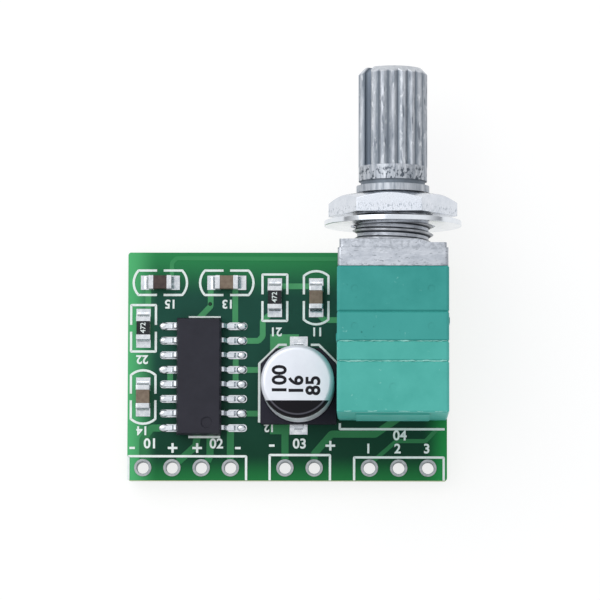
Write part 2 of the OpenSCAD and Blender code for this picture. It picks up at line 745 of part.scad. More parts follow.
module electrolytic_can() color("#dde2ec") translate([can_x, can_y, part_z + base_floor]) rotate_extrude()
    difference() {
        union() {
            box2(0, can_d / 2 - can_shoulder_r, 0, can_h);
            box2(0, can_d / 2, 0, can_h - can_shoulder_r);
            translate([can_d / 2 - can_shoulder_r, can_h - can_shoulder_r]) circle(r = can_shoulder_r);
        }
        translate([can_d / 2 + bead_r * 0.4, bead_h]) circle(r = bead_r);
        box2(-can_d, 0, -cut, can_h + cut);
    }

module electrolytic_base() color("#1f1c28") translate([can_x, can_y, part_z]) difference() {
    h = base_w / 2;
    c = base_chamfer;
    rise(0, base_post_h) polygon([[-h, -h], [h, -h], [h, h - c], [h - c, h], [-h + c, h], [-h, h - c]]);
    rise(base_floor, base_post_h + cut) circle(r = can_d / 2 + can_gap);
    // Channels for the two contact tabs
    rise(-cut, tab_t) for (s = [-1, 1])
        box2(-tab_w / 2, tab_w / 2, s > 0 ? tab_in : -h - cut, s > 0 ? h + cut : -tab_in);
}

module electrolytic_tabs() color("#c8ccd2") translate([can_x, can_y, part_z]) rise(0, tab_t) for (s = [-1, 1])
    box2(
        -tab_w / 2, tab_w / 2,
        s > 0 ? tab_in : -base_w / 2 - tab_reach, s > 0 ? base_w / 2 + tab_reach : -tab_in
    );

// Control: plate, shaft, nut and washer

module bushing_plate() color("#c8cbd0") difference() {
    w = pot_w / 2 - plate_inset;
    top = pot_top - plate_inset;
    slope_x = -w + rim_inset + seat_w;
    union() {
        back(rim_depth, plate_t) soft_rect(-w, w, board_top, top, case_r);
        intersection() {
            back(0, rim_depth) soft_rect(-w + rim_inset, w - rim_inset, board_top, top - rim_inset, case_r);
            rise(board_top, top) polygon([
                [-w, -rim_depth], [-w, 0], [slope_x, 0], [slope_x + seat_slope, -seat_rise],
                [w, -seat_rise], [w, -rim_depth]
            ]);
        }
        turned() polygon([
            [0, seat_rise], [bushing_d / 2, seat_rise], [bushing_d / 2, -bushing_l + bushing_chamfer],
            [bushing_d / 2 - bushing_chamfer, -bushing_l], [0, -bushing_l]
        ]);
    }
    back(-bushing_l - cut, plate_t + cut) circle(r = bore_r);
    back(clip_wall, plate_t + cut) circle(r = pocket_r);
    at_dowels(plate_t - dowel_bite, plate_t + cut, dowel_d / 2 + dowel_gap);
}

module knurl_cuts() for (i = [0:knurl_teeth - 1]) rotate((i + 0.5) * 360 / knurl_teeth) polygon([
    [shaft_d / 2 - knurl_depth, 0], [shaft_d / 2 + knurl_depth, knurl_groove],
    [shaft_d / 2 + knurl_depth, -knurl_groove]
]);

module control_shaft() color("#9aa3ab") difference() {
    r = shaft_d / 2;
    groove_d0 = clip_wall;
    groove_d1 = clip_wall + clip_t + 2 * clip_play;
    union() {
        turned() polygon([
            [0, -shaft_l], [r - tip_chamfer, -shaft_l], [r, -shaft_l + tip_chamfer], [r, -knurl_place],
            [r - band_drop, -knurl_place], [r - band_drop, -band_place], [undercut_d / 2, -band_place],
            [undercut_d / 2, -undercut_place], [collar_d / 2, -undercut_place], [collar_d / 2, -head_place],
            [neck_d / 2, -head_place], [neck_d / 2, groove_d0], [neck_d / 2 - clip_groove, groove_d0],
            [neck_d / 2 - clip_groove, groove_d1], [neck_d / 2, groove_d1], [neck_d / 2, plate_t - neck_gap],
            [0, plate_t - neck_gap]
        ]);
        back(groove_d1, tail_end) double_d(0);
    }
    back(-shaft_l - cut, -knurl_place) knurl_cuts();
    back(-shaft_l - cut, -knurl_place) rotate(slot_angle) square([shaft_d + 1, slot_w], center = true);
}

module retaining_clip() color("#8d9298")
    back(clip_wall + clip_play, clip_wall + clip_play + clip_t) difference() {
        ring(clip_d / 2, neck_d / 2 - clip_groove + clip_play / 2);
        pie(clip_d / 2, clip_from, clip_to);
    }

module hex_nut() color("#e2e6ee") difference() {
    far = nut_r + cut;
    drop = (far - nut_af / 2 + nut_chamfer_in) * tan(nut_chamfer_deg);
    intersection() {
        back(-nut_place - nut_t, -nut_place) rotate(nut_angle) circle(r = nut_r, $fn = 6);
        turned() polygon([
            [0, -nut_place], [far, -nut_place], [far, -nut_place - nut_t + drop],
            [nut_af / 2 - nut_chamfer_in, -nut_place - nut_t], [0, -nut_place - nut_t]
        ]);
    }
    back(-nut_place - nut_t - cut, -nut_place + cut) circle(r = bushing_d / 2 + thread_gap);
}

module flat_washer() color("#e2e6ee")
    back(-washer_place - washer_t, -washer_place) ring(washer_d / 2, washer_r);

// Control: housings

// Outer block of one housing, with its ends chamfered on the top and the two sides
module case_block(d0, d1) {
    w = pot_w / 2;
    c = case_chamfer;
    intersection() {
        back(d0, d1) soft_rect(-w, w, board_top, pot_top, case_r);
        rise(board_top - cut, pot_top + cut) polygon([
            [-w, -d0 - c], [-w + c, -d0], [w - c, -d0], [w, -d0 - c],
            [w, -d1 + c], [w - c, -d1], [-w + c, -d1], [-w, -d1 + c]
        ]);
        across(-w - cut, w + cut) polygon([
            [-d0, board_top], [-d0, pot_top - c], [-d0 - c, pot_top],
            [-d1 + c, pot_top], [-d1, pot_top - c], [-d1, board_top]
        ]);
    }
}

// Recess for a wafer and its tail, open at the bottom
module wafer_shape(gap, low) {
    circle(r = wafer_r + gap);
    box2(-wafer_tail_w / 2 - gap, wafer_tail_w / 2 + gap, low, 0);
}

// Cuts that both gang housings share
module gang_cuts(d0, d1) {
    back(d0 - cut, d0 + wafer_t) wafer_shape(wafer_gap, board_top - cut);
    back(d0, d0 + wafer_t + pin_t + pin_room)
        box2(-wafer_tail_w / 2, wafer_tail_w / 2, board_top - cut, -chamber_r + cut);
    back(d0, d1 + cut) circle(r = hub_r);
    at_dowels(d0 - cut, d1 + cut, dowel_d / 2 + dowel_gap);
}

// Two shallow ejector marks on the top of a housing
module top_marks(d) for (s = [-1, 1]) translate([s * (pot_w / 2 - mark_inset), -d, pot_top - mark_h])
    cylinder(d = mark_d, h = mark_h + cut);

module front_gang_housing() color("#3c998f") difference() {
    case_block(gang1_d, gang2_d);
    gang_cuts(gang1_d, gang2_d);
    back(gang1_d, rotor1_end - lug_l - rotor_rear_gap) circle(r = chamber_r);
    back(gang1_d, gang2_d - gang_wall) difference() {
        circle(r = chamber_r);
        intersection() {
            ring(chamber_r + cut, stop_r);
            pie(chamber_r + cut, stop_at - stop_half, stop_at + stop_half);
        }
    }
    top_marks((gang1_d + gang2_d) / 2);
}

module rear_gang_housing() color("#3c998f") {
    difference() {
        case_block(gang2_d, base_d);
        gang_cuts(gang2_d, base_d);
        back(gang2_d, base_d - gang_wall) circle(r = chamber_r);
        top_marks((gang2_d + base_d) / 2);
    }
    // Clip noses at both sides
    long = rear_gang_l * nose_l;
    for (s = [-1, 1]) translate([s * pot_w / 2, -gang2_d - rear_gang_l * (s < 0 ? left_nose : right_nose), 0])
        rise(-pot_top * 0.2, pot_top * 0.4) polygon([
            [-s * nose_root, 0], [0, 0], [s * nose_reach, -long * 0.2], [s * nose_reach, -long * 0.8],
            [0, -long], [-s * nose_root, -long]
        ]);
}

module switch_housing() color("#4fb0a1") difference() {
    case_block(base_d, cover_d);
    back(base_d + gang_wall, cover_d + cut) circle(r = chamber_r);
    back(base_d - cut, cover_d) circle(r = hub_r);
    at_dowels(base_d - cut, cover_d + cut, dowel_d / 2 + dowel_gap);
}

module switch_cover() color("#4fb0a1") difference() {
    union() {
        case_block(cover_d, end_d);
        back(end_d - cover_wall / 2, end_d + rear_panel_h) soft_rect(
            -rear_panel_w / 2, rear_panel_w / 2, board_top + rear_panel_low, pot_top - rear_panel_drop, case_r
        );
    }
    back(cover_d - cut, end_d - cover_wall) difference() {
        square(2 * chamber_r, center = true);
        for (p = dowel_at) translate(p) circle(r = dowel_d / 2 + dowel_wall);
    }
    // Ways out for the two switch pins
    for (s = [-1, 1]) translate([s * leaf_x, -leaf_d, 0]) rise(board_top - cut, -chamber_r + cut)
        square([leaf_t + pin_room, leaf_w + pin_room], center = true);
    at_dowels(cover_d - cut, end_d - dowel_skin, dowel_d / 2 + dowel_gap);
    translate([0, -(cover_d + end_d) / 2, pot_top - mark_h]) cylinder(d = mark_d, h = mark_h + cut);
}

module assembly_dowels() color("#b9bec4") at_dowels(plate_t - dowel_bite, end_d - dowel_skin, dowel_d / 2);

// Control: wafers, rotors, wipers and pins

// A wafer with its carbon track on the rear face
module element(d0) {
    difference() {
        union() {
            back(d0, d0 + wafer_t) wafer_shape(0, board_top + wafer_lift);
            back(d0, d0 + wafer_t + track_t) intersection() {
                ring(track_in_r + track_w, track_in_r);
                pie(track_in_r + track_w, track_from, track_to);
            }
        }
        back(d0 - cut, d0 + wafer_t + cut) circle(r = neck_d / 2 + wafer_bore_gap);
    }
}

module front_element() color("#8a6a3c") element(gang1_d);
module rear_element() color("#8a6a3c") element(gang2_d);

module rotor(d0, d1) difference() {
    back(d0, d1) circle(r = rotor_r);
    back(d0 - cut, d1 + cut) double_d(tail_gap);
}

module front_rotor() color("#e7e5df") {
    rotor(rotor1_d, rotor1_end);
    back(rotor1_end - lug_l, rotor1_end) intersection() {
        ring(lug_r, rotor_r - cut);
        pie(lug_r, lug_angle - lug_half, lug_angle + lug_half);
    }
}

module rear_rotor() color("#e7e5df") rotor(rotor2_d, rotor2_end);

// A spring ring on the rotor's face, with two domed contacts that reach to the track
module wiper(d0, face) {
    lift = face - wiper_t - d0 - track_t - wiper_gap;
    difference() {
        back(face - wiper_t, face) ring(wiper_r, wiper_in_r);
        back(face - wiper_t - cut, face + cut) for (a = [60, 240]) rotate(a)
            box2(wiper_in_r + wiper_inset, wiper_in_r + 2 * wiper_inset, -tail_d / 3, tail_d / 3);
    }
    for (a = [60, 240]) rotate([0, -a, 0]) translate([track_in_r + track_w / 2, -face + wiper_t / 2, 0])
        rotate([-90, 0, 0]) rotate_extrude() polygon([
            [0, 0], [track_w * 0.43, 0], [track_w * 0.17, lift + wiper_t / 2], [0, lift + wiper_t / 2]
        ]);
}

module front_wiper() color("#c9a06a") wiper(track1_d, rotor1_d);
module rear_wiper() color("#c9a06a") wiper(track2_d, rotor2_d);

// Three flat pins that hang from a wafer and pass through the board
module gang_pins(d) rise(pin_low, -chamber_r - lug_gap) for (x = gang_pin_x) translate([x, -d])
    square([pin_w, pin_t], center = true);

module front_pins() color("#cfc8b4") gang_pins(pin1_d);
module rear_pins() color("#cfc8b4") gang_pins(pin2_d);

// Control: switch

// A drum with one lobe that lifts the moving spring in the off position
module switch_cam() color("#e7e5df") difference() {
    back(cam_d, cam_d + cam_l) {
        circle(r = cam_r);
        intersection() {
            circle(r = lobe_r);
            pie(lobe_r, -lobe_half, lobe_half);
        }
    }
    back(cam_d - cut, cam_d + cam_l + cut) double_d(tail_gap);
}

// The moving spring, straight up from its pin
module switch_leaf() color("#c9a06a") translate([leaf_x, -leaf_d, 0]) rise(pin_low, chamber_r * 0.67)
    square([leaf_t, leaf_w], center = true);

// The fixed contact, bent over the cam from its own pin
module switch_contact() color("#c9a06a") back(leaf_d - leaf_w / 2, leaf_d + leaf_w / 2) {
    high = chamber_r - cam_set;
    tip_x = leaf_x - leaf_t / 2 - contact_gap;
    box2(-leaf_x - leaf_t / 2, -leaf_x + leaf_t / 2, pin_low, high);
    box2(-leaf_x - leaf_t / 2, tip_x, high - leaf_t, high);
    box2(tip_x - leaf_t, tip_x, chamber_r * 0.56, high);
}

circuit_board();
wire_rings();
solder_pads();
pin_solder();
amplifier_chip();
chip_leads();
c1_ceramic();
c1_ends();
c3_ceramic();
c3_ends();
c4_ceramic();
c4_ends();
c5_ceramic();
c5_ends();
r1_substrate();
r1_film();
r1_ends();
r2_substrate();
r2_film();
r2_ends();
electrolytic_can();
electrolytic_base();
electrolytic_tabs();
bushing_plate();
control_shaft();
retaining_clip();
hex_nut();
flat_washer();
front_gang_housing();
front_element();
front_rotor();
front_wiper();
front_pins();
rear_gang_housing();
rear_element();
rear_rotor();
rear_wiper();
rear_pins();
switch_housing();
switch_cover();
switch_cam();
switch_leaf();
switch_contact();
assembly_dowels();
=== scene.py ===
"""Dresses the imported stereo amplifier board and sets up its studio.

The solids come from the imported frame. This script adds what they leave out: the board's traces and legend,
the thread on the bushing, solder, rounded edges, and the finish of every piece. Pieces are shaped in
millimetres on a bench and brought to the frame's metres when they are set down.
"""

import json
import logging
import math
from dataclasses import dataclass
from enum import Enum

import bmesh
import bpy
from bpy.types import ID, Material, Mesh, Node, NodeSocket, NodeTree, Object
from mathutils import Matrix, Vector


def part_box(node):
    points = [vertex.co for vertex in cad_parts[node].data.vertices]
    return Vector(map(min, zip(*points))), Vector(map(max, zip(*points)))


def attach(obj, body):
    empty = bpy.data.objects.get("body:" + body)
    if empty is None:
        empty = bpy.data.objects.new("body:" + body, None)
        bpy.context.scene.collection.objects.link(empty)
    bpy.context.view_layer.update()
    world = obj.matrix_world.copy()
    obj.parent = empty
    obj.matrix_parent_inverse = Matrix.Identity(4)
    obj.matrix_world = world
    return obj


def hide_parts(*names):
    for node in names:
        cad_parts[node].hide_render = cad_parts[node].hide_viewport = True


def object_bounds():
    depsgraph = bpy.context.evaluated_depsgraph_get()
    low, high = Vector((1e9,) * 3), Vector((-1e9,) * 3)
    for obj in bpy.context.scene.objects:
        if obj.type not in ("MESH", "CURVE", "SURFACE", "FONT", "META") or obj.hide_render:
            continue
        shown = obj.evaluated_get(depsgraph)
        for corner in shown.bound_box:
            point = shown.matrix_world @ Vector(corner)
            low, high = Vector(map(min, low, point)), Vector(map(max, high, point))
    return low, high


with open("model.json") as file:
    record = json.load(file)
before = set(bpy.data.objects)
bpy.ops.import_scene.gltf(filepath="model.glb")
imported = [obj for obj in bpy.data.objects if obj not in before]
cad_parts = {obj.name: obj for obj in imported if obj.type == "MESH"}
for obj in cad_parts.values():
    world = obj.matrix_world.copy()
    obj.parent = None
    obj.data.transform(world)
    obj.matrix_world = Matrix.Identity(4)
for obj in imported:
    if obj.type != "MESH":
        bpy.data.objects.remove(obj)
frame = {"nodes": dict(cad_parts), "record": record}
CAD_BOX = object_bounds()

MM = 0.001
LOG = logging.getLogger("amplifier_board")
# Places of the colour sockets on a Mix node, whose sockets share their names
MIX_FACTOR, MIX_A, MIX_B, MIX_RESULT = 0, 6, 7, 2
# Places of the float sockets on a Random Value node, for the same reason
RANDOM_LEAST, RANDOM_MOST, RANDOM_FLOAT = 2, 3, 1
# Values that noise mostly lies between, spread over a finish's two colours and over its gloss
CLOUD_LOW, CLOUD_HIGH = 0.33, 0.67
GLOSS_LOW, GLOSS_HIGH = 0.3, 0.7
# Width of one ring of a wave texture at scale 1
WAVE_RING = math.pi / 10

Point = tuple[float, float]
Path = list[Point]
Place = tuple[float, float, float]
Finishes = dict[str, Material]


def linear(code: str) -> tuple[float, float, float, float]:
    """Turns an sRGB hex colour into linear values.

    Args:
        code: Colour as "#rrggbb".

    Returns:
        Linear red, green and blue with full alpha.
    """
    values = []
    for start in (1, 3, 5):
        value = int(code[start:start + 2], 16) / 255
        values.append(value / 12.92 if value <= 0.04045 else ((value + 0.055) / 1.055) ** 2.4)
    return (values[0], values[1], values[2], 1.0)


def per_mm(size: float) -> float:
    """Texture scale at which a pattern's features are the given number of millimetres wide."""
    return 1 / (size * MM)


def add_node(tree: NodeTree, kind: str, feeds: dict | None = None, **settings) -> Node:
    """Adds one node with its settings and links.

    Args:
        tree: Tree that takes the node.
        kind: Type name of the node.
        feeds: Value or linked output for each input, by the input's name or place.
        settings: Properties of the node.

    Returns:
        The new node.
    """
    node = tree.nodes.new(kind)
    for key, value in settings.items():
        setattr(node, key, value)
    for key, value in (feeds or {}).items():
        if isinstance(value, NodeSocket):
            tree.links.new(value, node.inputs[key])
        else:
            node.inputs[key].default_value = value
    return node


def node_box(node: str) -> tuple[Vector, Vector]:
    """Lowest and highest corner of a CAD node, in millimetres."""
    low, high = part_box(node)
    return low / MM, high / MM


def plan_centre(node: str) -> Point:
    """Plan centre of a CAD node, in millimetres."""
    low, high = node_box(node)
    return ((low.x + high.x) / 2, (low.y + high.y) / 2)


def slot_names() -> dict[str, str]:
    """Material slot of every CAD node, by the record."""
    return {sub["node"]: sub["material_slot"] for sub in frame["record"]["subparts"]}


def clear_tree(owner: ID) -> NodeTree:
    """Empties the shader tree of a material or a world.

    Args:
        owner: Material or world.

    Returns:
        Its tree, without nodes.
    """
    owner.use_nodes = True
    owner.node_tree.nodes.clear()
    return owner.node_tree


class Axis(Enum):
    """Axis of the frame along which a finish changes."""

    ACROSS = "X"
    ALONG = "Y"
    UP = "Z"


@dataclass(frozen=True)
class Zone:
    """A stretch along one axis, in millimetres, with soft ends."""

    axis: Axis
    low: float
    high: float
    fade: float = 0.1

    def mask(self, tree: NodeTree, place: NodeSocket) -> NodeSocket:
        """Gives 1 inside the zone and 0 outside it.

        Args:
            tree: Tree of the material.
            place: Object coordinates.

        Returns:
            Output that carries the mask.
        """
        axes = add_node(tree, "ShaderNodeSeparateXYZ", {"Vector": place})
        offset = add_node(tree, "ShaderNodeMath", {
            0: axes.outputs[self.axis.value], 1: (self.low + self.high) / 2 * MM}, operation="SUBTRACT")
        distance = add_node(tree, "ShaderNodeMath", {0: offset.outputs["Value"]}, operation="ABSOLUTE")
        half = (self.high - self.low) / 2
        inside = add_node(tree, "ShaderNodeMapRange", {
            "Value": distance.outputs["Value"], "From Min": half * MM, "From Max": (half + self.fade) * MM,
            "To Min": 1.0, "To Max": 0.0})
        return inside.outputs["Result"]


@dataclass(frozen=True)
class Speck:
    """Scattered marks of one colour, such as scuffs, pits or dirt, all over a piece or in one zone of it.

    A higher level leaves fewer marks, and level 0 covers the whole zone. The edge is how softly a mark ends.
    """

    colour: str
    size_mm: float
    level: float
    stretch: Place = (1.0, 1.0, 1.0)
    zone: Zone | None = None
    strength: float = 1.0
    edge: float = 0.08

    def lay(self, tree: NodeTree, place: NodeSocket, colour: NodeSocket) -> NodeSocket:
        """Lays the marks over a colour.

        Args:
            tree: Tree of the material.
            place: Object coordinates.
            colour: Colour under the marks.

        Returns:
            Output with the marked colour.
        """
        drawn = add_node(tree, "ShaderNodeMapping", {"Vector": place, "Scale": self.stretch})
        noise = add_node(tree, "ShaderNodeTexNoise", {
            "Vector": drawn.outputs["Vector"], "Scale": per_mm(self.size_mm), "Detail": 3.0,
            "Roughness": 0.6})
        share = add_node(tree, "ShaderNodeMapRange", {
            "Value": noise.outputs["Fac"], "From Min": self.level, "From Max": self.level + self.edge,
            "To Max": self.strength}).outputs["Result"]
        if self.zone:
            share = add_node(tree, "ShaderNodeMath", {0: share, 1: self.zone.mask(tree, place)},
                             operation="MULTIPLY").outputs["Value"]
        marked = add_node(tree, "ShaderNodeMix", {
            MIX_FACTOR: share, MIX_A: colour, MIX_B: linear(self.colour)}, data_type="RGBA")
        return marked.outputs[MIX_RESULT]


@dataclass(frozen=True)
class Finish:
    """A surface with clouded colour, uneven gloss and a fine grain.

    Sizes of patterns are real millimetres. The stretch draws the clouding out along an axis, as drawing,
    turning or brushing does.
    """

    name: str
    base: str
    cloud: str
    roughness: float
    metallic: float = 0.0
    cloud_mm: float = 1.2
    grain_mm: float = 0.12
    grain_depth_mm: float = 0.004
    gloss_spread: float = 0.08
    stretch: Place = (1.0, 1.0, 1.0)
    specular: float = 0.5
    specks: tuple[Speck, ...] = ()

    def tune(self, tree: NodeTree, shader: Node, place: NodeSocket, colour: NodeSocket) -> None:
        """Lays on what one finish has beyond the others; a plain one has nothing more."""

    def build(self) -> Material:
        """Builds the material.

        Returns:
            The new material, with its pattern on Object coordinates.
        """
        material = bpy.data.materials.new(self.name)
        tree = clear_tree(material)
        place = add_node(tree, "ShaderNodeTexCoord").outputs["Object"]
        drawn = add_node(tree, "ShaderNodeMapping", {"Vector": place, "Scale": self.stretch})
        clouds = add_node(tree, "ShaderNodeTexNoise", {
            "Vector": drawn.outputs["Vector"], "Scale": per_mm(self.cloud_mm), "Detail": 4.0,
            "Roughness": 0.6})
        share = add_node(tree, "ShaderNodeMapRange", {
            "Value": clouds.outputs["Fac"], "From Min": CLOUD_LOW, "From Max": CLOUD_HIGH})
        ground = add_node(tree, "ShaderNodeMix", {
            MIX_FACTOR: share.outputs["Result"], MIX_A: linear(self.base), MIX_B: linear(self.cloud)},
            data_type="RGBA")
        gloss = add_node(tree, "ShaderNodeMapRange", {
            "Value": clouds.outputs["Fac"], "From Min": GLOSS_LOW, "From Max": GLOSS_HIGH,
            "To Min": self.roughness - self.gloss_spread, "To Max": self.roughness + self.gloss_spread})
        grain = add_node(tree, "ShaderNodeTexNoise", {
            "Vector": drawn.outputs["Vector"], "Scale": per_mm(self.grain_mm), "Detail": 3.0})
        bump = add_node(tree, "ShaderNodeBump", {
            "Height": grain.outputs["Fac"], "Distance": self.grain_depth_mm * MM, "Strength": 1.0})
        colour = ground.outputs[MIX_RESULT]
        for speck in self.specks:
            colour = speck.lay(tree, place, colour)
        shader = add_node(tree, "ShaderNodeBsdfPrincipled", {
            "Base Color": colour, "Metallic": self.metallic,
            "Roughness": gloss.outputs["Result"], "Specular IOR Level": self.specular,
            "Normal": bump.outputs["Normal"]})
        add_node(tree, "ShaderNodeOutputMaterial", {"Surface": shader.outputs["BSDF"]})
        self.tune(tree, shader, place, colour)
        return material


@dataclass(frozen=True)
class PaintedLightRim:
    """A strip of painted light and shade on the mask: where it starts, where it has faded out, and its
    colour.
    """

    axis: Axis
    edge: float
    faded: float
    colour: str
    strength: float = 1.0


@dataclass(frozen=True)
class SolderMask(Finish):
    """Screened solder mask on a laminate: deep green, with painted light and shade towards the board's edges,
    and bare cut edges.
    """

    laminate: str = "#bfca95"
    ply: str = "#a8b37c"
    ply_mm: float = 0.16
    ply_stretch: Place = (0.06, 0.06, 1.0)
    ply_low: float = 0.42
    ply_high: float = 0.6
    painted_light_rims: tuple[PaintedLightRim, ...] = ()
    cut: Zone | None = None

    def tune(self, tree: NodeTree, shader: Node, place: NodeSocket, colour: NodeSocket) -> None:
        """Paints light and shade on the mask towards the board's edges and bares the laminate's plies on the
        cut edges.

        Args:
            tree: Tree of the material.
            shader: Its shader.
            place: Object coordinates.
            colour: Clouded colour of the mask.
        """
        axes = add_node(tree, "ShaderNodeSeparateXYZ", {"Vector": place})
        # Each strip lays painted light, or painted shade, over the mask
        for rim in self.painted_light_rims:
            ramp = add_node(tree, "ShaderNodeMapRange", {
                "Value": axes.outputs[rim.axis.value], "From Min": rim.edge * MM, "From Max": rim.faded * MM,
                "To Min": rim.strength, "To Max": 0.0}, interpolation_type="SMOOTHSTEP")
            colour = add_node(tree, "ShaderNodeMix", {
                MIX_FACTOR: ramp.outputs["Result"], MIX_A: colour, MIX_B: linear(rim.colour)},
                data_type="RGBA").outputs[MIX_RESULT]
        if self.cut:
            drawn = add_node(tree, "ShaderNodeMapping", {"Vector": place, "Scale": self.ply_stretch})
            plies = add_node(tree, "ShaderNodeTexNoise", {
                "Vector": drawn.outputs["Vector"], "Scale": per_mm(self.ply_mm), "Detail": 2.0})
            share = add_node(tree, "ShaderNodeMapRange", {
                "Value": plies.outputs["Fac"], "From Min": self.ply_low, "From Max": self.ply_high})
            cloth = add_node(tree, "ShaderNodeMix", {
                MIX_FACTOR: share.outputs["Result"], MIX_A: linear(self.laminate), MIX_B: linear(self.ply)},
                data_type="RGBA")
            colour = add_node(tree, "ShaderNodeMix", {
                MIX_FACTOR: self.cut.mask(tree, place), MIX_A: colour, MIX_B: cloth.outputs[MIX_RESULT]},
                data_type="RGBA").outputs[MIX_RESULT]
        tree.links.new(colour, shader.inputs["Base Color"])


@dataclass(frozen=True)
class PrintedCan(Finish):
    """Drawn aluminium can with a black segment printed on its top, over the minus lead."""

    ink: str = "#0f0e14"
    glint: str = "#6d6c76"
    crease_r: float = 2.8
    crease_half: float = 0.02
    crease_fade: float = 0.1
    crease_share: float = 0.6
    segment_y: float = 0.0
    middle: Point = (0.0, 0.0)
    shoulder_z: float = 0.0

    def tune(self, tree: NodeTree, shader: Node, place: NodeSocket, colour: NodeSocket) -> None:
        """Prints the segment beyond its line, down to the shoulder, with a glint at the shoulder's crease.

        Args:
            tree: Tree of the material.
            shader: Its shader.
            place: Object coordinates.
            colour: Clouded colour of the metal.
        """
        axes = add_node(tree, "ShaderNodeSeparateXYZ", {"Vector": place})
        beyond = add_node(tree, "ShaderNodeMath", {0: axes.outputs["Y"], 1: self.segment_y * MM},
                          operation="LESS_THAN")
        on_top = add_node(tree, "ShaderNodeMath", {0: axes.outputs["Z"], 1: self.shoulder_z * MM},
                          operation="GREATER_THAN")
        inked = add_node(tree, "ShaderNodeMath", {0: beyond.outputs["Value"], 1: on_top.outputs["Value"]},
                         operation="MULTIPLY")
        centred = add_node(tree, "ShaderNodeVectorMath", {
            0: place, 1: (self.middle[0] * MM, self.middle[1] * MM, 0.0)}, operation="SUBTRACT")
        plan = add_node(tree, "ShaderNodeVectorMath", {0: centred.outputs["Vector"], 1: (1.0, 1.0, 0.0)},
                        operation="MULTIPLY")
        radius = add_node(tree, "ShaderNodeVectorMath", {0: plan.outputs["Vector"]}, operation="LENGTH")
        offset = add_node(tree, "ShaderNodeMath", {0: radius.outputs["Value"], 1: self.crease_r * MM},
                          operation="SUBTRACT")
        distance = add_node(tree, "ShaderNodeMath", {0: offset.outputs["Value"]}, operation="ABSOLUTE")
        crease = add_node(tree, "ShaderNodeMapRange", {
            "Value": distance.outputs["Value"], "From Min": self.crease_half * MM,
            "From Max": self.crease_fade * MM, "To Min": self.crease_share, "To Max": 0.0})
        ink = add_node(tree, "ShaderNodeMix", {
            MIX_FACTOR: crease.outputs["Result"], MIX_A: linear(self.ink), MIX_B: linear(self.glint)},
            data_type="RGBA")
        printed = add_node(tree, "ShaderNodeMix", {
            MIX_FACTOR: inked.outputs["Value"], MIX_A: colour, MIX_B: ink.outputs[MIX_RESULT]},
            data_type="RGBA")
        metal = add_node(tree, "ShaderNodeMath", {0: self.metallic, 1: inked.outputs["Value"]},
                         operation="SUBTRACT", use_clamp=True)
        tree.links.new(printed.outputs[MIX_RESULT], shader.inputs["Base Color"])
        tree.links.new(metal.outputs["Value"], shader.inputs["Metallic"])


